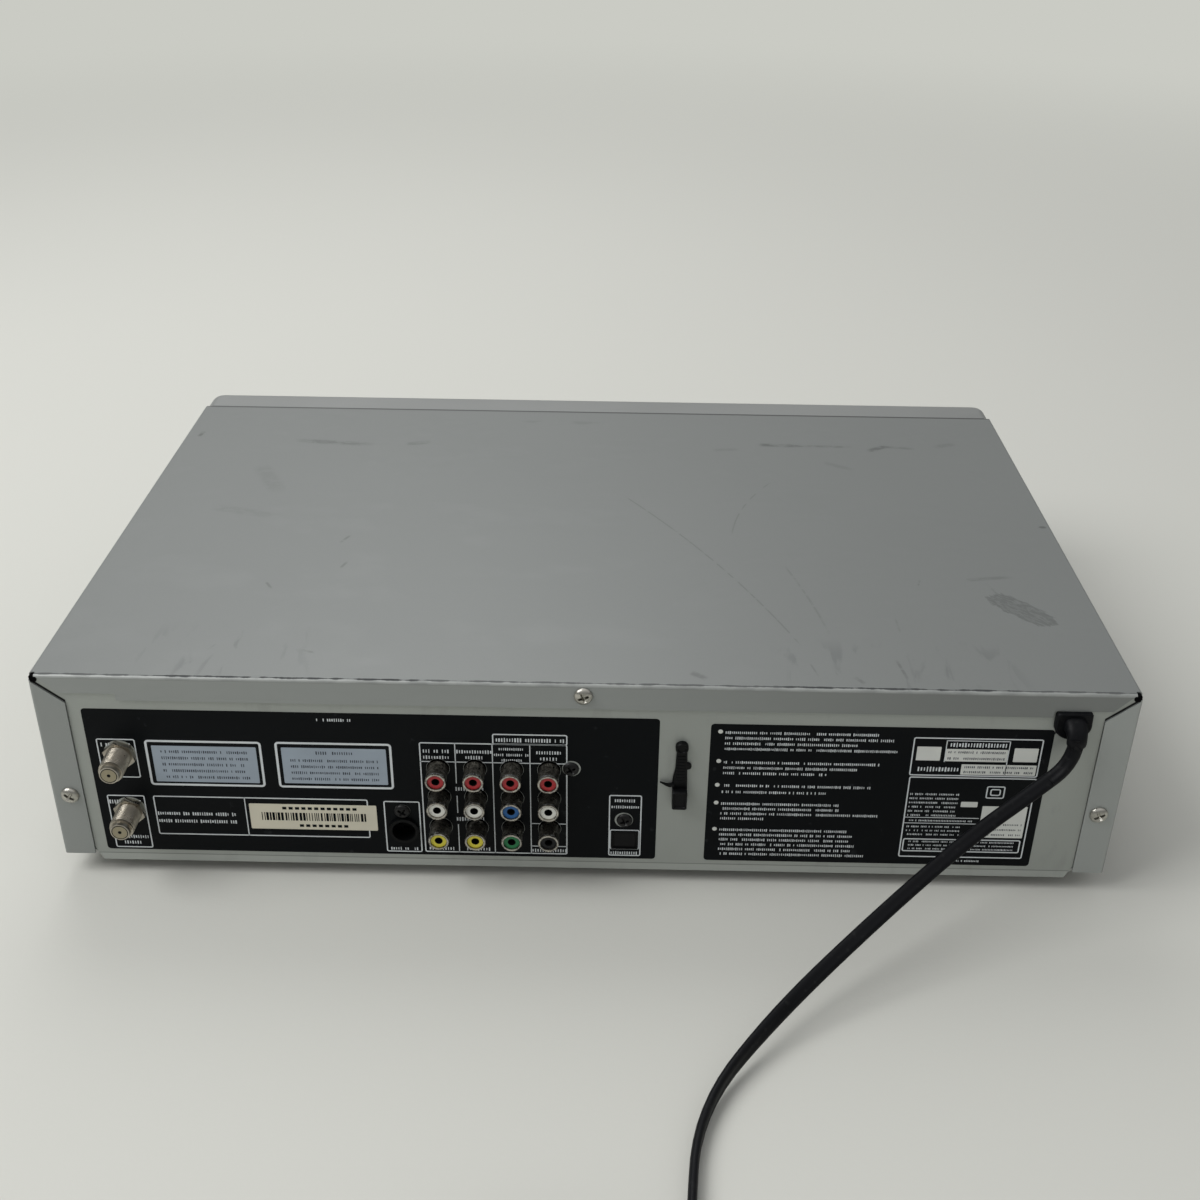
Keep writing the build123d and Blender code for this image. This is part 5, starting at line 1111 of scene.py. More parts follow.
@kept
def plating(make, colour, rough=0.22, tarnish=0.35):
    """Bright plating with tarnish in patches."""
    cloud = make.noise(3.0, 4.0)
    fine = make.noise(0.25, 2.0)
    tone = make.mix(make.band(cloud, 0.4, 0.7, 0.0, tarnish), colour, shade(colour, 0.45))
    gloss = make.band(cloud, 0.3, 0.7, rough, rough + 0.16)
    return make.done(tone, gloss, 1.0, make.bump(fine, 0.01))


def shell_plating(nickel):
    """Dull mottled plating on the phono shells, dark where they leave the panel."""
    make = Finish("shell_nickel")
    mottle = make.noise(1.6, 4.0, shift=(9, 2, 5))
    spots = make.cells(1.5)
    tone = make.mix(make.band(mottle, 0.38, 0.66), shade(nickel, 0.8), shade(nickel, 0.16))
    tone = make.mix(make.band(spots, 0.1, 0.5, 0.3, 0.0), tone, shade(nickel, 1.1))
    root = make.band(make.axis("Y"), PANEL + 0.5, PANEL + 0.9, 1.0, 0.0)
    root = make.times(root, make.band(make.axis("Y"), PANEL - 3.0, PANEL - 2.0))
    tone = make.mix(root, tone, paint(14, 14, 13))
    gloss = make.band(mottle, 0.3, 0.7, 0.24, 0.46)
    return make.done(tone, gloss, 1.0, make.bump(mottle, 0.03))


@kept
def circuit_board(make, colour, upright=False):
    """Solder mask with traces as darker strips and small pads, and dark parts that stand on it."""
    brick = make.tree.nodes.new("ShaderNodeTexBrick")
    make.feed(brick.inputs["Vector"], make.place)
    brick.inputs["Scale"].default_value = 0.16
    brick.inputs["Color1"].default_value = shade(colour, 1.0)
    brick.inputs["Color2"].default_value = shade(colour, 1.35)
    brick.inputs["Mortar"].default_value = shade(colour, 0.6)
    brick.inputs["Mortar Size"].default_value = 0.05
    pads = make.cells(4.2)
    dots = make.band(pads, 0.12, 0.16, 1.0, 0.0)
    tone = make.mix(make.times(dots, 0.8), brick.outputs["Color"], paint(170, 170, 160))
    if upright:
        parts = make.band(make.axis("Y"), FRONT_BOARD - 0.2, FRONT_BOARD, 1.0, 0.0)
    else:
        parts = make.band(make.axis("Z"), BOARD_TOP, BOARD_TOP + 0.2)
    moulded = make.mix(make.noise(8.0, 3.0), paint(26, 27, 30), paint(44, 45, 49))
    tone = make.mix(parts, tone, moulded)
    return make.done(tone, 0.38, 0.0, make.bump(dots, 0.05))


@kept
def turned_metal(make, colour, middle, rough=0.2):
    """Turned alloy with fine rings about its middle."""
    away = make.vector("SUBTRACT", make.place, middle)
    along = make.vector("DOT_PRODUCT", away, (0, 0, 1))
    radial = make.vector("LENGTH", away)
    wave = make.math("SINE", make.times(make.math("ADD", radial, along), 14.0))
    cloud = make.noise(9.0, 3.0)
    tone = make.mix(make.band(wave, -1, 1, 0.0, 0.25), colour, shade(colour, 0.8))
    gloss = make.band(cloud, 0.3, 0.7, rough, rough + 0.1)
    return make.done(tone, gloss, 1.0, make.bump(wave, 0.004))


def mixed_inserts():
    """Blue, green and black inserts, told apart by place."""
    make = Finish("insert_mixed")
    cloud = make.noise(2.0, 3.0)
    is_low = make.band(make.axis("Z"), 33.0, 35.0, 1.0, 0.0)
    is_right = make.band(make.axis("X"), 20.0, 22.0, 1.0, 0.0)
    tone = make.mix(is_low, paint(38, 92, 150), paint(40, 118, 72))
    tone = make.mix(make.times(is_low, is_right), tone, paint(8, 8, 9))
    tone = make.stain(tone, paint(24, 40, 60), cloud, 0.1)
    return make.done(tone, 0.38, Specular_IOR_Level=0.3)


def smoked_glass():
    """Dark window plastic that shows the display faintly."""
    make = Finish("smoked_window")
    cloud = make.noise(30.0, 3.0)
    tone = make.mix(cloud, paint(24, 26, 32), paint(34, 36, 42))
    return make.done(tone, make.band(cloud, 0.3, 0.7, 0.05, 0.1), Transmission_Weight=0.75, IOR=1.49)


def node_materials(scene):
    """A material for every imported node, by its name."""
    cover = scene.player_cover
    nickel = (*scene.player_fittings.nickel, 1.0)
    black = plain("black_moulding", paint(9, 10, 11), 0.42, vary=0.12, depth=0.02, Specular_IOR_Level=0.12)
    deck = zinc("deck_zinc", paint(176, 178, 176))
    grey_abs = plain("grey_abs", paint(92, 94, 96), 0.5, depth=0.04)
    key_silver = plain("key_silver", paint(172, 174, 172), 0.36, metal=0.3, vary=0.04, depth=0.01)
    ivory = plain("ivory_acetal", paint(206, 202, 188), 0.4, vary=0.03, depth=0.01)
    smoke = plain("reel_plastic", paint(52, 54, 58), 0.38, vary=0.08)
    drum_place = tuple(centre("head_drum"))
    spindle_place = tuple(centre("spindle_turntable"))
    drum_metal = turned_metal("drum_alloy", paint(196, 198, 200), drum_place)
    table = {
        "top_cover": cover_paint(cover),
        "rear_panel": panel_paint(cover),
        "front_bezel": bezel_plastic(cover),
        "chassis_pan": zinc("pan_zinc", paint(168, 170, 168)),
        "rubber_feet": rubber("foot_rubber", paint(26, 26, 27)),
        "cover_screws": plating("screw_zinc", paint(186, 184, 176), 0.26),
        "panel_screws": plain("black_screw", paint(15, 15, 16), 0.36, Specular_IOR_Level=0.3),
        "tuner_can": zinc("can_tin", paint(190, 192, 190), 0.3),
        "antenna_connectors": plating("antenna_nickel", shade(nickel, 0.95), 0.24),
        "rca_shells": shell_plating(nickel),
        "rca_inserts_red": plain("insert_red", paint(166, 28, 36), 0.34, vary=0.1, patch=2.0),
        "rca_inserts_white": plain("insert_white", paint(222, 222, 214), 0.34, vary=0.03, patch=2.0),
        "rca_inserts_yellow": plain("insert_yellow", paint(212, 200, 62), 0.34, vary=0.08, patch=2.0),
        "rca_inserts_mixed": mixed_inserts(),
        "svideo_socket": black,
        "optical_socket": black,
        "optical_shutter": plain("shutter_black", paint(13, 13, 15), 0.38, Specular_IOR_Level=0.15),
        "cord_bushing": rubber("bushing_black", paint(9, 10, 11)),
        "cord_clip": plain("clip_black", paint(8, 9, 10), 0.4, Specular_IOR_Level=0.16),
        "display_window": smoked_glass(),
        "cassette_flap": plain("flap_silver", paint(150, 152, 150), 0.36, metal=0.3, vary=0.04, depth=0.01),
        "tray_front": plain("tray_silver", paint(158, 160, 158), 0.36, metal=0.3, vary=0.04, depth=0.01),
        "front_board": circuit_board("front_board_green", paint(30, 92, 52), upright=True),
        "main_board": circuit_board("main_board_green", paint(26, 84, 48)),
        "power_board": circuit_board("power_board_tan", paint(150, 116, 70)),
        "deck_plate": deck,
        "carriage_frame": zinc("carriage_zinc", paint(184, 186, 182)),
        "carriage_runner": plain("runner_black", paint(34, 35, 38), 0.4),
        "cassette_basket": zinc("basket_zinc", paint(190, 190, 186), 0.32),
        "drum_base": turned_metal("drum_base_alloy", paint(150, 152, 154), drum_place, rough=0.35),
        "head_drum": drum_metal,
        "capstan": plating("capstan_steel", paint(200, 200, 198), 0.16, 0.1),
        "pinch_arm": zinc("arm_zinc", paint(180, 182, 178)),
        "pinch_roller": rubber("roller_rubber", paint(30, 28, 28)),
        "supply_reel": smoke,
        "takeup_reel": smoke,
        "loading_arm_left": ivory,
        "loading_arm_right": ivory,
        "tape_heads": zinc("head_steel", paint(170, 170, 172), 0.25),
        "loader_frame": grey_abs,
        "disc_tray": plain("tray_black", paint(30, 31, 34), 0.42, vary=0.1, depth=0.04),
        "tray_gear": ivory,
        "loader_bridge": zinc("bridge_zinc", paint(186, 188, 184)),
        "clamp_puck": plain("puck_black", paint(36, 37, 40), 0.36),
        "traverse_frame": plain("traverse_grey", paint(70, 72, 76), 0.5),
        "spindle_turntable": turned_metal("turntable_alloy", paint(150, 152, 156), spindle_place),
        "pickup_sled": plain("sled_alloy", paint(120, 122, 126), 0.35, metal=0.8),
        "sled_screw": plating("screw_shaft", paint(204, 204, 200), 0.18, 0.1),
        "mains_cord": MATERIALS["cord_vinyl"],
        "cord_coil": MATERIALS["cord_vinyl"],
        "cord_tie": MATERIALS["strap_plastic"],
        "plug_body": MATERIALS["plug_vinyl"],
        "plug_blades": plating("blade_nickel", paint(206, 200, 184), 0.22, 0.2),
    }
    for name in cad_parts:
        if name.endswith("_button"):
            table[name] = key_silver
    return table


class PLAYER_OT_finishes(bpy.types.Operator):
    """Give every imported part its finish"""

    bl_idname = "player.finishes"
    bl_label = "Finishes"

    def execute(self, context):
        table = node_materials(context.scene)
        for name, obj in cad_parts.items():
            if name not in table:
                raise RuntimeError(f"no finish for {name}")
            slots = obj.material_slots
            if not slots:
                obj.data.materials.append(table[name])
            for slot in slots:
                slot.material = table[name]
        return {"FINISHED"}


# Print on the rear panel

INK_T = 0.05

# Each box here is x0, x1, z0, z1 in millimetres
FIELDS = (
    ("ink_field_jacks", -30.0, 197.0, 12.0, 82.0),
    ("ink_field_notes", -184.0, -50.0, 12.0, 80.2),
)
THICK_BOXES = ((127.8, 174.2, 45.3, 67.5), (76.0, 122.4, 45.3, 67.7))
LINE_BOXES = (
    (177.8, 193.3, 48.8, 67.7),
    (177.9, 193.3, 12.9, 39.9),
    (87.2, 174.5, 20.2, 39.9),
    (66.1, 80.9, 13.3, 39.4),
    (6.2, 65.0, 13.5, 68.8),
    (6.2, 35.9, 68.4, 73.5),
    (-23.9, -10.6, 13.4, 44.6),
    (-23.3, -11.1, 16.8, 27.0),
    (-180.4, -129.6, 57.2, 75.6),
    (-180.6, -129.9, 15.8, 56.6),
    (-168.8, -161.4, 46.4, 52.5),
    (-167.2, -163.0, 47.8, 51.1),
    (-178.9, -131.0, 18.7, 25.4),
)
BLOCKS = (
    (-167.2, -142.9, 64.4, 70.3),
    (-179.4, -149.8, 58.0, 63.0),
    (-179.0, -169.6, 64.6, 71.2),
    (-140.9, -131.4, 64.6, 71.2),
    (-158.8, -152.1, 41.9, 44.5),
    (-179.1, -161.0, 26.5, 42.5),
)
PLATES = ((130.0, 171.7, 47.2, 64.8), (78.3, 120.0, 47.5, 65.0))
STICKER = (83.9, 135.8, 24.1, 36.9)
OPTICAL_HOLE = (-22.7, -11.7, 17.35, 26.45)
BULLETS_X = -53.8
BULLETS_Z = (76.6, 62.4, 50.7, 41.8, 28.4)
PRINTED_LINES = (
    (50.6, 51.0, 48.9, 68.8),
    (50.6, 51.0, 34.0, 42.8),
    (50.6, 51.0, 13.5, 28.2),
    (6.2, 21.2, 17.4, 17.8),
    (-167.6, -142.6, 74.1, 74.45),
    (-167.6, -167.25, 57.8, 74.45),
    (-142.9, -142.55, 64.0, 74.45),
    (-160.3, -130.3, 36.1, 36.4),
    (-160.3, -130.5, 33.2, 33.5),
    (35.8, 36.2, 13.5, 68.8),
    (20.9, 21.3, 13.5, 68.8),
    (6.2, 65.0, 59.3, 59.7),
    (6.2, 21.2, 29.1, 29.5),
    (137.1, 137.5, 20.2, 39.9),
)


# Rows of bars as x0, x1, lowest z, highest z, count, bar height and share left out
SMALL_ROWS = (
    (-150.5, -131.4, 37.4, 48.0, 6, 1.0, 0.18),
    (-153.0, -131.8, 27.6, 31.6, 3, 0.9, 0.2),
    (-157.5, -131.8, 34.7, 34.7, 1, 0.9, 0.1),
    (-176.0, -133.5, 20.2, 23.9, 3, 0.8, 0.15),
    (-163.0, -144.0, 14.1, 14.1, 1, 1.0, 0.1),
    (-148.5, -133.0, 60.4, 60.4, 1, 2.4, 0.0),
    (-166.0, -144.5, 72.3, 72.3, 1, 2.2, 0.0),
    (40.4, 51.0, 46.2, 46.2, 1, 2.0, 0.0),
    (40.4, 51.0, 31.0, 31.0, 1, 2.0, 0.0),
    (53.2, 62.8, 15.5, 15.5, 1, 1.9, 0.0),
    (38.4, 47.4, 15.5, 15.5, 1, 1.9, 0.0),
    (6.9, 20.4, 15.4, 15.4, 1, 1.9, 0.0),
    (180.2, 191.4, 64.8, 64.8, 1, 1.9, 0.08),
    (180.0, 192.3, 36.5, 36.5, 1, 1.9, 0.08),
    (179.4, 190.0, 18.6, 18.6, 1, 1.7, 0.0),
    (182.9, 189.2, 15.6, 15.6, 1, 1.7, 0.0),
    (7.8, 34.2, 70.6, 70.6, 1, 2.0, 0.09),
    (53.6, 63.3, 61.6, 64.6, 2, 1.8, 0.06),
    (36.6, 50.0, 64.6, 64.6, 1, 1.8, 0.06),
    (40.2, 46.5, 61.8, 61.8, 1, 1.8, 0.0),
    (24.0, 33.2, 66.2, 66.2, 1, 1.4, 0.0),
    (21.9, 35.2, 63.4, 63.4, 1, 1.4, 0.1),
    (24.6, 32.2, 60.8, 60.8, 1, 1.4, 0.0),
    (9.0, 18.3, 64.8, 64.8, 1, 1.9, 0.0),
    (10.6, 16.8, 61.8, 61.8, 1, 1.9, 0.0),
    (-20.8, -13.2, 41.8, 41.8, 1, 1.5, 0.0),
    (-22.5, -11.9, 38.6, 38.6, 1, 1.5, 0.08),
    (-22.2, -11.8, 14.9, 14.9, 1, 1.6, 0.0),
    (68.2, 78.8, 15.0, 15.0, 1, 1.6, 0.08),
    (142.0, 173.3, 27.2, 31.0, 2, 1.8, 0.13),
    (91.5, 104.5, 78.6, 78.6, 1, 1.5, 0.1),
)
PLATE_ROWS = (
    (134.0, 168.0, 49.6, 62.0, 5, 1.5, 0.16),
    (82.0, 116.5, 49.8, 58.8, 4, 1.4, 0.14),
    (92.0, 107.0, 62.6, 62.6, 1, 1.7, 0.05),
    (-166.0, -144.0, 65.8, 68.8, 2, 1.3, 0.1),
    (-178.0, -151.2, 59.3, 61.7, 2, 1.2, 0.1),
    (-177.8, -163.0, 28.0, 33.2, 3, 1.0, 0.1),
)

# Groups of rows beside the bullets: height of the first row, distance between rows and where each one ends
BULLET_GROUPS = (
    (76.2, 2.6, (-115.5, -121.7, -107.6, -123.6)),
    (61.9, 2.65, (-117.9, -108.5, -96.6)),
    (50.5, 3.2, (-114.8, -97.2)),
    (41.4, 2.5, (-102.9, -103.1, -119.0, -73.0)),
    (28.1, 2.5, (-107.3, -109.7, -108.4, -111.0, -109.6, -116.1)),
)


def jack_holes():
    """Openings that the dark fields leave round each fitting, as (x, z, radius)."""
    holes = [(x, z, 4.75) for x, z in JACKS]
    holes += [(ANTENNA_X, z, 6.5) for z in ANTENNA_Z]
    holes += [(73.1, 24.9, 6.1), (73.4, 34.4, 3.3)]
    holes += [(4.6, 57.3, 3.75), (-16.75, 32.0, 3.75)]
    return holes


@kept
def ink(make, colour, rough, specular=0.3):
    """Screen-printed ink with a slight orange peel and rubbed spots."""
    cloud = make.noise(24.0, 4.0)
    fine = make.noise(0.8, 2.0)
    tone = make.mix(cloud, shade(colour, 0.85), shade(colour, 1.15))
    rub = make.band(make.noise(5.0, 5.0), 0.66, 0.74)
    tone = make.stain(tone, paint(90, 94, 96), rub, 0.1)
    gloss = make.band(cloud, 0.3, 0.7, rough, rough + 0.08)
    return make.done(tone, gloss, 0.0, make.bump(fine, 0.008), Specular_IOR_Level=specular)


def dash_tree():
    """Rows of short bars of random length."""
    grow = Growth("dash_rows")
    place = grow.input("Place", "Vector", (0.0, 0.0, 0.0))
    columns = grow.input("Columns", "Int", 10)
    rows = grow.input("Rows", "Int", 3)
    width = grow.input("Width", "Float", 0.02)
    height = grow.input("Height", "Float", 0.01)
    bar_l = grow.input("Bar length", "Float", 0.002)
    bar_h = grow.input("Bar height", "Float", 0.0006)
    bar_t = grow.input("Bar thickness", "Float", 0.00004)
    gaps = grow.input("Gap share", "Float", 0.15)
    seed = grow.input("Seed", "Int", 1)
    material = grow.input("Material", "Material")
    grid = grow.node(
        "GeometryNodeMeshGrid", {"Size X": width, "Size Y": height, "Vertices X": columns, "Vertices Y": rows}
    )
    drop = grow.node("FunctionNodeRandomValue", {"Probability": gaps, "Seed": seed}, data_type="BOOLEAN")
    left = grow.node("GeometryNodeDeleteGeometry", {0: grid.outputs[0], 1: drop.outputs[3]}, domain="POINT")
    size = grow.node("ShaderNodeCombineXYZ", {0: bar_l, 1: bar_h, 2: bar_t})
    bar = grow.node("GeometryNodeMeshCube", {"Size": size.outputs[0]})
    stretch = grow.node(
        "FunctionNodeRandomValue",
        {0: (0.7, 0.62, 1.0), 1: (1.3, 1.0, 1.0), "Seed": seed},
        data_type="FLOAT_VECTOR",
    )
    bars = grow.node(
        "GeometryNodeInstanceOnPoints",
        {"Points": left.outputs[0], "Instance": bar.outputs[0], "Scale": stretch.outputs[0]},
    )
    turned = grow.node(
        "GeometryNodeTransform",
        {"Geometry": bars.outputs[0], "Translation": place, "Rotation": (math.pi / 2, 0, 0)},
    )
    grow.close(turned.outputs[0], material)
    return grow


class PLAYER_OT_print(bpy.types.Operator):
    """Print the dark fields, line boxes, plates and rows of dashes on the rear panel"""

    bl_idname = "player.print"
    bl_label = "Rear print"

    def execute(self, context):
        values = context.scene.player_print
        line = values.line_width / MM
        dark = ink("dark_ink", tuple(values.ink), 0.42, 0.1)
        pale = ink("pale_ink", tuple(values.line), 0.5)
        plate = ink("plate_ink", tuple(values.plate), 0.45)
        cream = ink("sticker_cream", paint(205, 200, 182), 0.5)
        holes = [circle(*hole) for hole in jack_holes()]
        for name, x0, x1, z0, z1 in FIELDS:
            loops = [round_box(x0, x1, z0, z1, 1.5)]
            for loop, (x, z, _) in zip(holes, jack_holes()):
                if x0 < x < x1 and z0 < z < z1:
                    loops.append(loop)
            if x0 < OPTICAL_HOLE[0] < x1:
                loops.append(round_box(*OPTICAL_HOLE, 0.3))
            piece(name, sheet_mesh(name, loops, PANEL, PANEL + INK_T), dark, angle=30)

        low, high = PANEL + INK_T, PANEL + 2 * INK_T
        lines = [sheet_mesh("box", frame_loops(*box, 0.9, line), low, high) for box in LINE_BOXES]
        lines += [sheet_mesh("box", frame_loops(*box, 1.6, 0.95), low, high) for box in THICK_BOXES]
        lines += [sheet_mesh("bar", [rectangle(*box)], low, high) for box in PRINTED_LINES]
        piece("line_boxes", joined(lines, "line_boxes"), pale)
        plates = [sheet_mesh("plate", [round_box(*box, 0.4)], low, high) for box in PLATES]
        piece("note_plates", joined(plates, "note_plates"), plate)
        blocks = [sheet_mesh("block", [round_box(*box, 0.3)], low, high) for box in BLOCKS]
        blocks += [sheet_mesh("bullet", [circle(BULLETS_X, z, 0.95, 20)], low, high) for z in BULLETS_Z]
        white = ink("block_ink", paint(206, 208, 203), 0.5)
        piece("plain_blocks", joined(blocks, "plain_blocks"), white)
        sticker = sheet_mesh("sticker", [round_box(*STICKER, 0.5)], high, high + 0.08)
        piece("stripe_sticker", sticker, cream)
        self.dashes(values, pale)
        self.stripes(values, dark)
        return {"FINISHED"}

    def dashes(self, values, pale):
        """Rows of short upright bars on the dark fields and on the pale plates."""
        notes = []
        for top, pitch, ends in BULLET_GROUPS:
            for row, far in enumerate(ends):
                level = top - pitch * row
                notes.append((far, BULLETS_X - 2.2, level, level, 1, 1.35, 0.13))
        self.rows("small_dashes", values.seed, pale, [*notes, *SMALL_ROWS])
        self.rows("plate_dashes", values.seed + 70, ink("grey_ink", paint(60, 66, 74), 0.5), PLATE_ROWS)

    def rows(self, name, seed, material, rows):
        """One piece of bars from a table of rows."""
        grow = dash_tree()
        level = PANEL + 2 * INK_T + 0.02
        parts = []
        for index, (x0, x1, z0, z1, lines, bar_h, gap) in enumerate(rows):
            pitch = 0.32 + 0.34 * bar_h
            part = grow.grow(
                Place=((x0 + x1) / 2 * MM, level * MM, (z0 + z1) / 2 * MM),
                Columns=max(2, round((x1 - x0) / pitch)),
                Rows=lines,
                Width=(x1 - x0) * MM,
                Height=(z1 - z0) * MM,
                Bar_length=0.5 * pitch * MM,
                Bar_height=bar_h * MM,
                Bar_thickness=0.04 * MM,
                Gap_share=gap,
                Seed=seed + index,
                Material=material,
            )
            parts.append(part)
        piece(name, joined(parts, name), material)

    def stripes(self, values, dark):
        """Plain upright stripes and two rows of dashes on the cream sticker."""
        draw = random.Random(values.seed)
        level = PANEL + 2 * INK_T + 0.08
        bars = Shape()
        x = STICKER[0] + 4.5
        while x < STICKER[1] - 5.0:
            wide = draw.choice((0.35, 0.35, 0.7, 1.0))
            bars.slab(rectangle(x, x + wide, 28.6, 32.6), level, level + 0.04)
            x += wide + draw.choice((0.4, 0.4, 0.75))
        for z, start, count in ((34.2, 92.0, 12), (25.4, 96.0, 8)):
            for step in range(count):
                left = start + 2.6 * step
                bars.slab(rectangle(left, left + 1.7, z, z + 1.3), level, level + 0.04)
        piece("sticker_stripes", bars, dark)


# Small fittings

# Profiles as (y, radius), from the face of a jack
RIM_PROFILE = (
    (-0.9, 4.17), (-0.2, 4.17), (0.12, 4.08), (0.3, 3.84),
    (0.34, 3.66), (0.24, 3.46), (-0.1, 3.36), (-0.9, 3.36),
)
WELL_PROFILE = (
    (-4.9, 0.5), (-4.9, 1.57), (-0.42, 1.57), (-0.4, 1.62),
    (-0.34, 1.62), (-0.34, 1.42), (-4.6, 1.36),
)
CLIP_EDGE = (
    (-2.1, 0.0), (1.9, 0.0), (2.3, -10.5), (3.1, -14.6),
    (3.4, -18.0), (3.3, -20.0), (-2.8, -20.0), (-2.5, -12.0),
)
CLIP_AT = (-39.0, 69.2)


def pan_head(radius, height):
    """A domed screw head with a cross recess, facing +Y at the origin."""
    dome = Shape()
    profile = [(0.0, radius * 0.96)]
    for share in (0.12, 0.3, 0.5, 0.7, 0.85, 0.95, 1.0):
        profile.append((height * share, radius * math.sqrt(max(0.02, 1 - share**2.6))))
    dome.turn_y(0, 0, profile, 40)
    head = placed("head", tidy_mesh(dome.mesh("head")))
    cutter = Shape()
    for turn in (0, 1):
        rings = []
        for y, length, half in ((height * 0.1, radius * 0.36, 0.3), (height + 0.4, radius * 0.74, 0.62)):
            ring = rectangle(-length, length, -half, half)
            rings.append([(a, y, b) if turn == 0 else (b, y, -a) for a, b in ring])
        cutter.tube(rings)
    tool = placed("tool", tidy_mesh(cutter.mesh("tool")))
    cut = head.modifiers.new("Recess", "BOOLEAN")
    cut.operation = "DIFFERENCE"
    cut.solver = "EXACT"
    cut.use_self = True
    cut.object = tool
    data = baked(head, keep=True)
    bpy.data.objects.remove(head)
    bpy.data.objects.remove(tool)
    return data


def scatter_tree():
    """Puts one head on each point, turned by a random angle about Y."""
    grow = Growth("screw_heads")
    points = grow.input("Points", "Geometry")
    head = grow.input("Head", "Object")
    seed = grow.input("Seed", "Int", 3)
    material = grow.input("Material", "Material")
    info = grow.node("GeometryNodeObjectInfo", {"Object": head})
    turn = grow.node(
        "FunctionNodeRandomValue",
        {0: (0.0, 0.0, 0.0), 1: (0.0, 1.5, 0.0), "Seed": seed},
        data_type="FLOAT_VECTOR",
    )
    heads = grow.node(
        "GeometryNodeInstanceOnPoints",
        {"Points": points, "Instance": info.outputs["Geometry"], "Rotation": turn.outputs[0]},
    )
    grow.close(heads.outputs[0], material)
    return grow


def thread_tree():
    """Round ridges at even steps along Y."""
    grow = Growth("thread_ridges")
    place = grow.input("Place", "Vector", (0.0, 0.0, 0.0))
    count = grow.input("Count", "Int", 10)
    pitch = grow.input("Pitch", "Float", 0.0008)
    radius = grow.input("Radius", "Float", 0.0046)
    depth = grow.input("Depth", "Float", 0.0003)
    material = grow.input("Material", "Material")
    step = grow.node("ShaderNodeCombineXYZ", {1: pitch}).outputs[0]
    line = grow.node("GeometryNodeMeshLine", {"Count": count, "Start Location": place, "Offset": step}).outputs[0]
    ring = grow.node("GeometryNodeCurvePrimitiveCircle", {"Resolution": 40, "Radius": radius}).outputs[0]
    section = grow.node("GeometryNodeCurvePrimitiveCircle", {"Resolution": 6, "Radius": depth}).outputs[0]
    ridge = grow.node("GeometryNodeCurveToMesh", {"Curve": ring, "Profile Curve": section}).outputs[0]
    turned = grow.node("GeometryNodeTransform", {"Geometry": ridge, "Rotation": (math.pi / 2, 0, 0)}).outputs[0]
    ridges = grow.node("GeometryNodeInstanceOnPoints", {"Points": line, "Instance": turned})
    grow.close(ridges.outputs[0], material)
    return grow


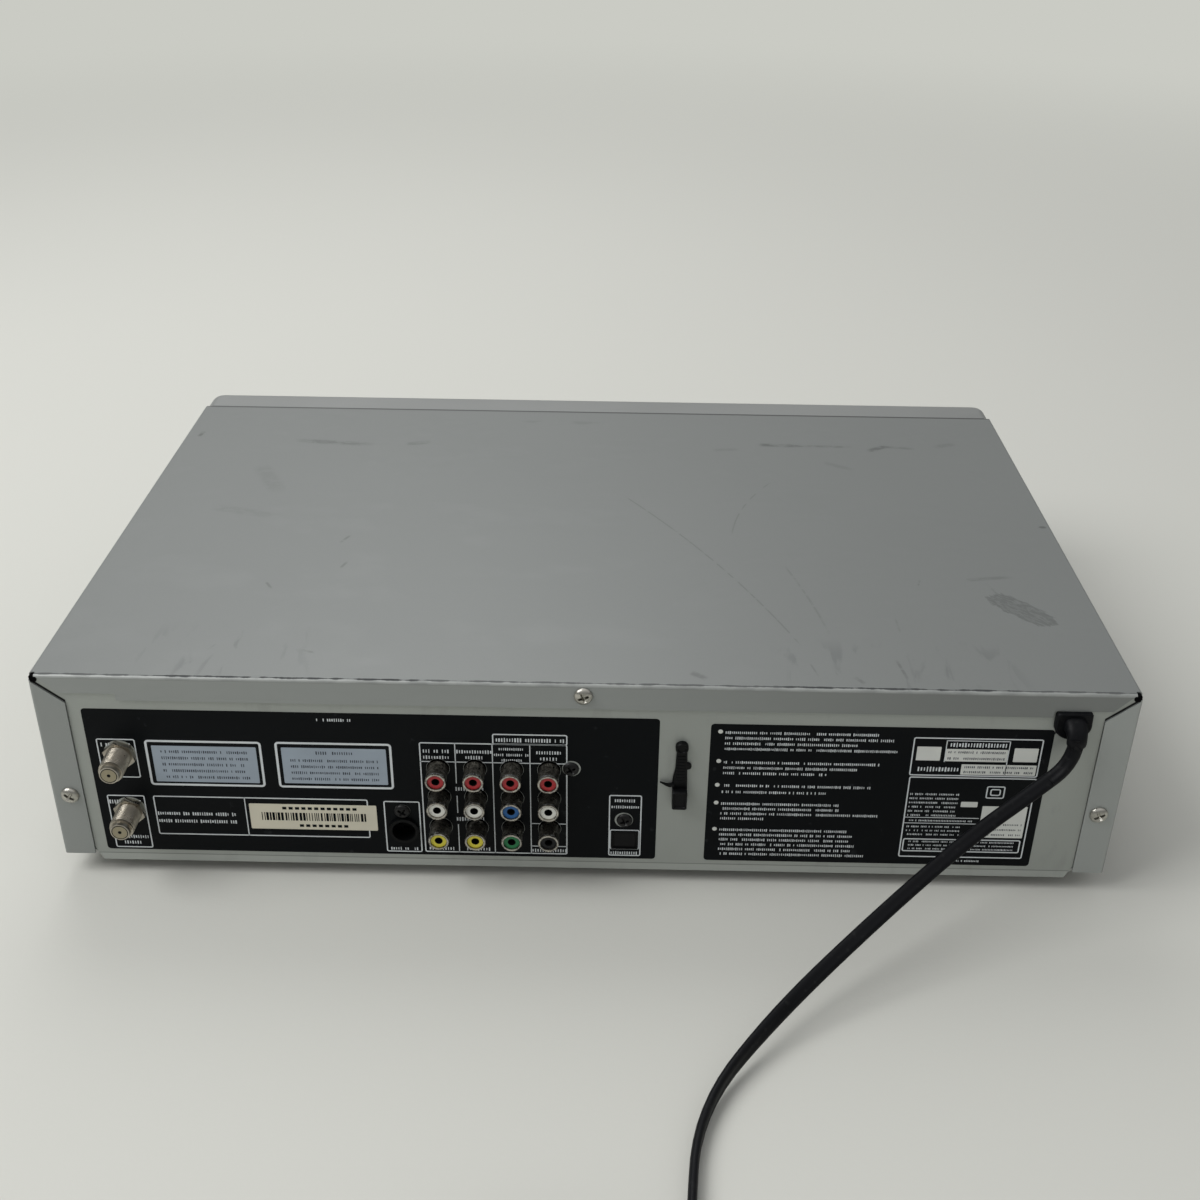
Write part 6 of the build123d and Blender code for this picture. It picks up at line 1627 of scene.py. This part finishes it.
class PLAYER_OT_fittings(bpy.types.Operator):
    """Make the screw heads, antenna threads, jack rims, painted shade blocks in the cover's corners and cord clip
    """

    bl_idname = "player.fittings"
    bl_label = "Fittings"

    def execute(self, context):
        values = context.scene.player_fittings
        self.screws(values)
        self.threads(values)
        self.jacks()
        self.notches()
        self.clip()
        return {"FINISHED"}

    def jacks(self):
        """Rolled bright rims on the phono shells, and near-black linings in the holes of their inserts: painted
        shade for the dark inside the holes.
        """
        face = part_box("rca_shells")[1].y / MM
        places = Shape()
        places.add([(x, face - 0.32, z) for x, z in JACKS], [])
        ring = Shape()
        ring.turn_y(0, 0, RIM_PROFILE, 48, True)
        well = Shape()
        well.turn_y(0, 0, WELL_PROFILE, 36)
        # The wells are near-black linings in the insert holes: painted shade
        for name, shape, material in (
            ("jack_rims", ring, plating("rim_nickel", paint(236, 236, 234), 0.16, 0.1)),
            ("jack_wells", well, plain("well_black", paint(9, 9, 10), 0.6, Specular_IOR_Level=0.1)),
        ):
            part = placed("part", tidy_mesh(shape.mesh("part")))
            data = scatter_tree().grow(base=places.mesh("places"), Head=part, Seed=1, Material=material)
            bpy.data.objects.remove(part)
            piece(name, data, material, angle=50)

        # Tan insulator faces on the antenna connectors; near-black linings in their centre holes and thin
        # near-black rings at their edges are painted shade in the hole and the gap to the barrel
        discs = Shape()
        dark = Shape()
        for z in ANTENNA_Z:
            face = [(REACH - 0.2, 3.05), (REACH + 0.04, 2.95), (REACH + 0.04, 0.75), (REACH - 1.5, 0.7)]
            discs.turn_y(ANTENNA_X, z, face, 40)
            dark.turn_y(ANTENNA_X, z, [(REACH - 1.0, 0.72), (REACH + 0.06, 0.72)], 20)
            edge = [(REACH, 3.0), (REACH + 0.06, 3.0), (REACH + 0.06, 3.3), (REACH, 3.3)]
            dark.turn_y(ANTENNA_X, z, edge, 40, True)
        tan = plain("disc_tan", paint(150, 142, 118), 0.42, metal=0.35, vary=0.12, patch=1.5, depth=0.01)
        piece("antenna_discs", discs, tan)
        piece("antenna_wells", dark, MATERIALS["well_black"])

    def clip(self):
        """The cord clip: a hollow domed head, a ribbed strap, a split tail and a buckle."""
        x, z = CLIP_AT
        front = PANEL + 1.5
        clip = Shape()
        knob = ((0.0, 2.6), (2.0, 2.6), (2.4, 2.35), (2.4, 1.75), (1.9, 1.5))
        clip.turn_y(x, z, [(PANEL + lift, radius) for lift, radius in knob], 32)
        clip.turn_y(x - 2.5, z - 9.2, [(PANEL, 1.6), (PANEL + 0.9, 1.6), (PANEL + 1.3, 1.2)], 24)
        sections = ((PANEL, 1.0), (front - 0.4, 1.0), (front, 0.86))
        clip.tube([[(x + a * s, y, z + b) for a, b in CLIP_EDGE] for y, s in sections])

        # Ribs on the strap
        for step in range(9):
            low = z - 4.2 - 1.5 * step
            rings = []
            for y, under, over in ((front - 0.1, -0.45, 0.45), (front + 0.35, -0.12, 0.2)):
                rings.append([(a, y, b) for a, b in rectangle(x - 1.7, x + 1.7, low + under, low + over)])
            clip.tube(rings)

        # The split tail
        section = ((-0.45, -0.4), (0.45, -0.4), (0.45, 0.4), (-0.45, 0.4))
        for lift, reach in ((0.0, 8.2), (1.0, 7.6)):
            run = ((2.6, -17.6), (4.2, -18.1), (5.6, -18.0 + 0.3 * lift), (reach, -17.0 + 0.4 * lift))
            rings = []
            for (a, b), thick in zip(run, (1.3, 1.0, 0.85, 0.6)):
                middle = Vector((x + a, PANEL + 0.9 + lift, z + b))
                rings.append([middle + Vector((0, c * thick, d * thick)) for c, d in section])
            clip.tube(rings)

        # The buckle and the two pins
        sides = round_box(x - 2.8, x + 3.2, z - 28.4, z - 19.6, 0.7, 4)
        middle_x, middle_z = x + 0.2, z - 24.0
        rings = []
        for lift, s in ((0.0, 1.0), (3.9, 1.0), (4.4, 0.93), (4.4, 0.74), (3.9, 0.68)):
            y = PANEL + lift
            rings.append([(middle_x + (a - middle_x) * s, y, middle_z + (b - middle_z) * s) for a, b in sides])
        clip.tube(rings)
        for hole_x, hole_z in ((x, z), (x - 1.2, z - 10.5)):
            clip.turn_y(hole_x, hole_z, [(PANEL - 1.6, 1.5), (PANEL + 0.3, 1.5)], 24)
        clip = piece("cord_clip_form", clip, MATERIALS["clip_black"], angle=35)
        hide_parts("cord_clip")

    def notches(self):
        """Near-black blocks in the cut corners of the cover: painted shade for the dark inside."""
        shade_matte = plain("corner_foam", paint(7, 7, 8), 0.9, Specular_IOR_Level=0.05)
        plugs = Shape()
        for side in (1, -1):
            limits = sorted((side * (HALF - 3.3), side * (HALF - 0.45)))
            plugs.slab(round_box(*limits, TOP - 3.3, TOP - 0.45, 0.7, 4), REAR - 3.3, REAR - 0.45)
        piece("corner_plugs", plugs, shade_matte)

    def screws(self, values):
        """Domed heads in place of the plain ones."""
        grow = scatter_tree()
        radius = values.head / MM
        on_cover = ((HALF - 7.3, REAR, 40.0), (7.3 - HALF, REAR, 40.0), (0.0, REAR, TOP - 5.0))
        on_panel = ((73.4, PANEL, 34.4), (4.8, PANEL, 57.2), (-17.0, PANEL, 31.9))
        for name, node, places, size, height, finish, slot in (
            ("domed_screws", "cover_screws", on_cover, radius, 2.0, "screw_zinc", "screw_steel"),
            ("black_screws", "panel_screws", on_panel, radius * 0.88, 1.6, "black_screw", "black_screw"),
        ):
            material = MATERIALS[finish]
            head = placed("head", pan_head(size, height))
            points = Shape()
            points.add(places, [])
            data = grow.grow(base=points.mesh("places"), Head=head, Seed=5, Material=material)
            bpy.data.objects.remove(head)
            heads = piece(name, data, material, angle=32)
            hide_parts(node)

    def threads(self, values):
        """Thread ridges on the two antenna connectors."""
        grow = thread_tree()
        metal = MATERIALS["antenna_nickel"]
        start = REAR + 2.2
        pitch = values.pitch / MM
        ridges = []
        for z in ANTENNA_Z:
            ridge = grow.grow(
                Place=(ANTENNA_X * MM, start * MM, z * MM),
                Count=int((REACH - 2.6 - start) / pitch) + 1,
                Pitch=values.pitch,
                Radius=0.00466,
                Depth=0.0003,
                Material=metal,
            )
            ridges.append(ridge)
        piece("antenna_thread", joined(ridges, "antenna_thread"), metal, angle=80)


# Front marks


class PLAYER_OT_front(bpy.types.Operator):
    """Add plain key marks and clock digits to the front"""

    bl_idname = "player.front"
    bl_label = "Front marks"

    def execute(self, context):
        dark = ink("mark_ink", paint(40, 42, 46), 0.45)
        for name, shapes in self.marks().items():
            x, _, z = centre(name)
            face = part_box(name)[0].y / MM
            mark = Shape()
            for outline in shapes:
                mark.slab([(x + a, z + b) for a, b in outline], face - 0.005, face + 0.03)
            piece(name.replace("_button", "_mark"), mark, dark, body=name)
        self.digits()
        return {"FINISHED"}

    def marks(self):
        """Outlines of plain transport marks, for each key."""
        right = [(-1.4, -1.6), (1.6, 0.0), (-1.4, 1.6)]
        left = [(-a, b) for a, b in right]
        square = rectangle(-1.4, 1.4, -1.4, 1.4)
        up = [(-1.8, -0.4), (1.8, -0.4), (0.0, 1.6)]
        bar = rectangle(-1.8, 1.8, -1.5, -0.9)

        def moved(outline, dx):
            return [(a + dx, b) for a, b in outline]

        return {
            "rewind_button": [moved(left, -1.6), moved(left, 1.6)],
            "play_button": [right],
            "forward_button": [moved(right, -1.6), moved(right, 1.6)],
            "stop_eject_button": [moved(square, -4.0), moved(up, 4.0), moved(bar, 4.0)],
            "record_button": [circle(0, 0, 1.6, 20)],
            "tray_button": [up, bar],
            "power_button": [rectangle(-0.4, 0.4, -2.4, 2.4)],
        }

    def digits(self):
        """Unlit clock digits on the display tube, behind the window."""
        glass = plain("digit_segments", paint(96, 104, 100), 0.4)
        z = centre("display_window").z
        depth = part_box("display_window")[1].y / MM + 1.6
        segments = Shape()
        for x in (44.0, 57.0, 74.0, 87.0):
            for dx, dz in ((0, 6), (0, 0), (0, -6), (-3.4, 3), (3.4, 3), (-3.4, -3), (3.4, -3)):
                half_w, half_h = (0.5, 2.3) if dx else (2.6, 0.5)
                cx, cz = x + dx, z + dz
                segments.slab(rectangle(cx - half_w, cx + half_w, cz - half_h, cz + half_h), depth, depth + 0.1)
        piece("clock_digits", segments, glass)


class PLAYER_PT_tools(bpy.types.Panel):
    """Lists what makes the player"""

    bl_label = "Player"
    bl_idname = "PLAYER_PT_tools"
    bl_space_type = "VIEW_3D"
    bl_region_type = "UI"
    bl_category = "Player"

    def draw(self, context):
        for operator in OPERATORS:
            self.layout.operator(operator.bl_idname)
        for name, group in GROUPS.items():
            box = self.layout.box()
            values = getattr(context.scene, name)
            for key in group.__annotations__:
                box.prop(values, key)


GROUPS = {
    "player_stage": StageProperties,
    "player_cord": CordProperties,
    "player_cover": CoverProperties,
    "player_print": PrintProperties,
    "player_fittings": FittingProperties,
}
OPERATORS = (
    PLAYER_OT_stage,
    PLAYER_OT_cord,
    PLAYER_OT_finishes,
    PLAYER_OT_print,
    PLAYER_OT_fittings,
    PLAYER_OT_front,
)


def register():
    for group in GROUPS.values():
        bpy.utils.register_class(group)
    for operator in OPERATORS:
        bpy.utils.register_class(operator)
    bpy.utils.register_class(PLAYER_PT_tools)
    for name, group in GROUPS.items():
        setattr(bpy.types.Scene, name, PointerProperty(type=group))


def unregister():
    for name in GROUPS:
        delattr(bpy.types.Scene, name)
    bpy.utils.unregister_class(PLAYER_PT_tools)
    for operator in reversed(OPERATORS):
        bpy.utils.unregister_class(operator)
    for group in reversed(GROUPS.values()):
        bpy.utils.unregister_class(group)


def main():
    register()
    bpy.ops.player.stage()
    bpy.ops.player.cord()
    bpy.ops.player.finishes()
    bpy.ops.player.print()
    bpy.ops.player.fittings()
    bpy.ops.player.front()


if __name__ == "__main__":
    main()
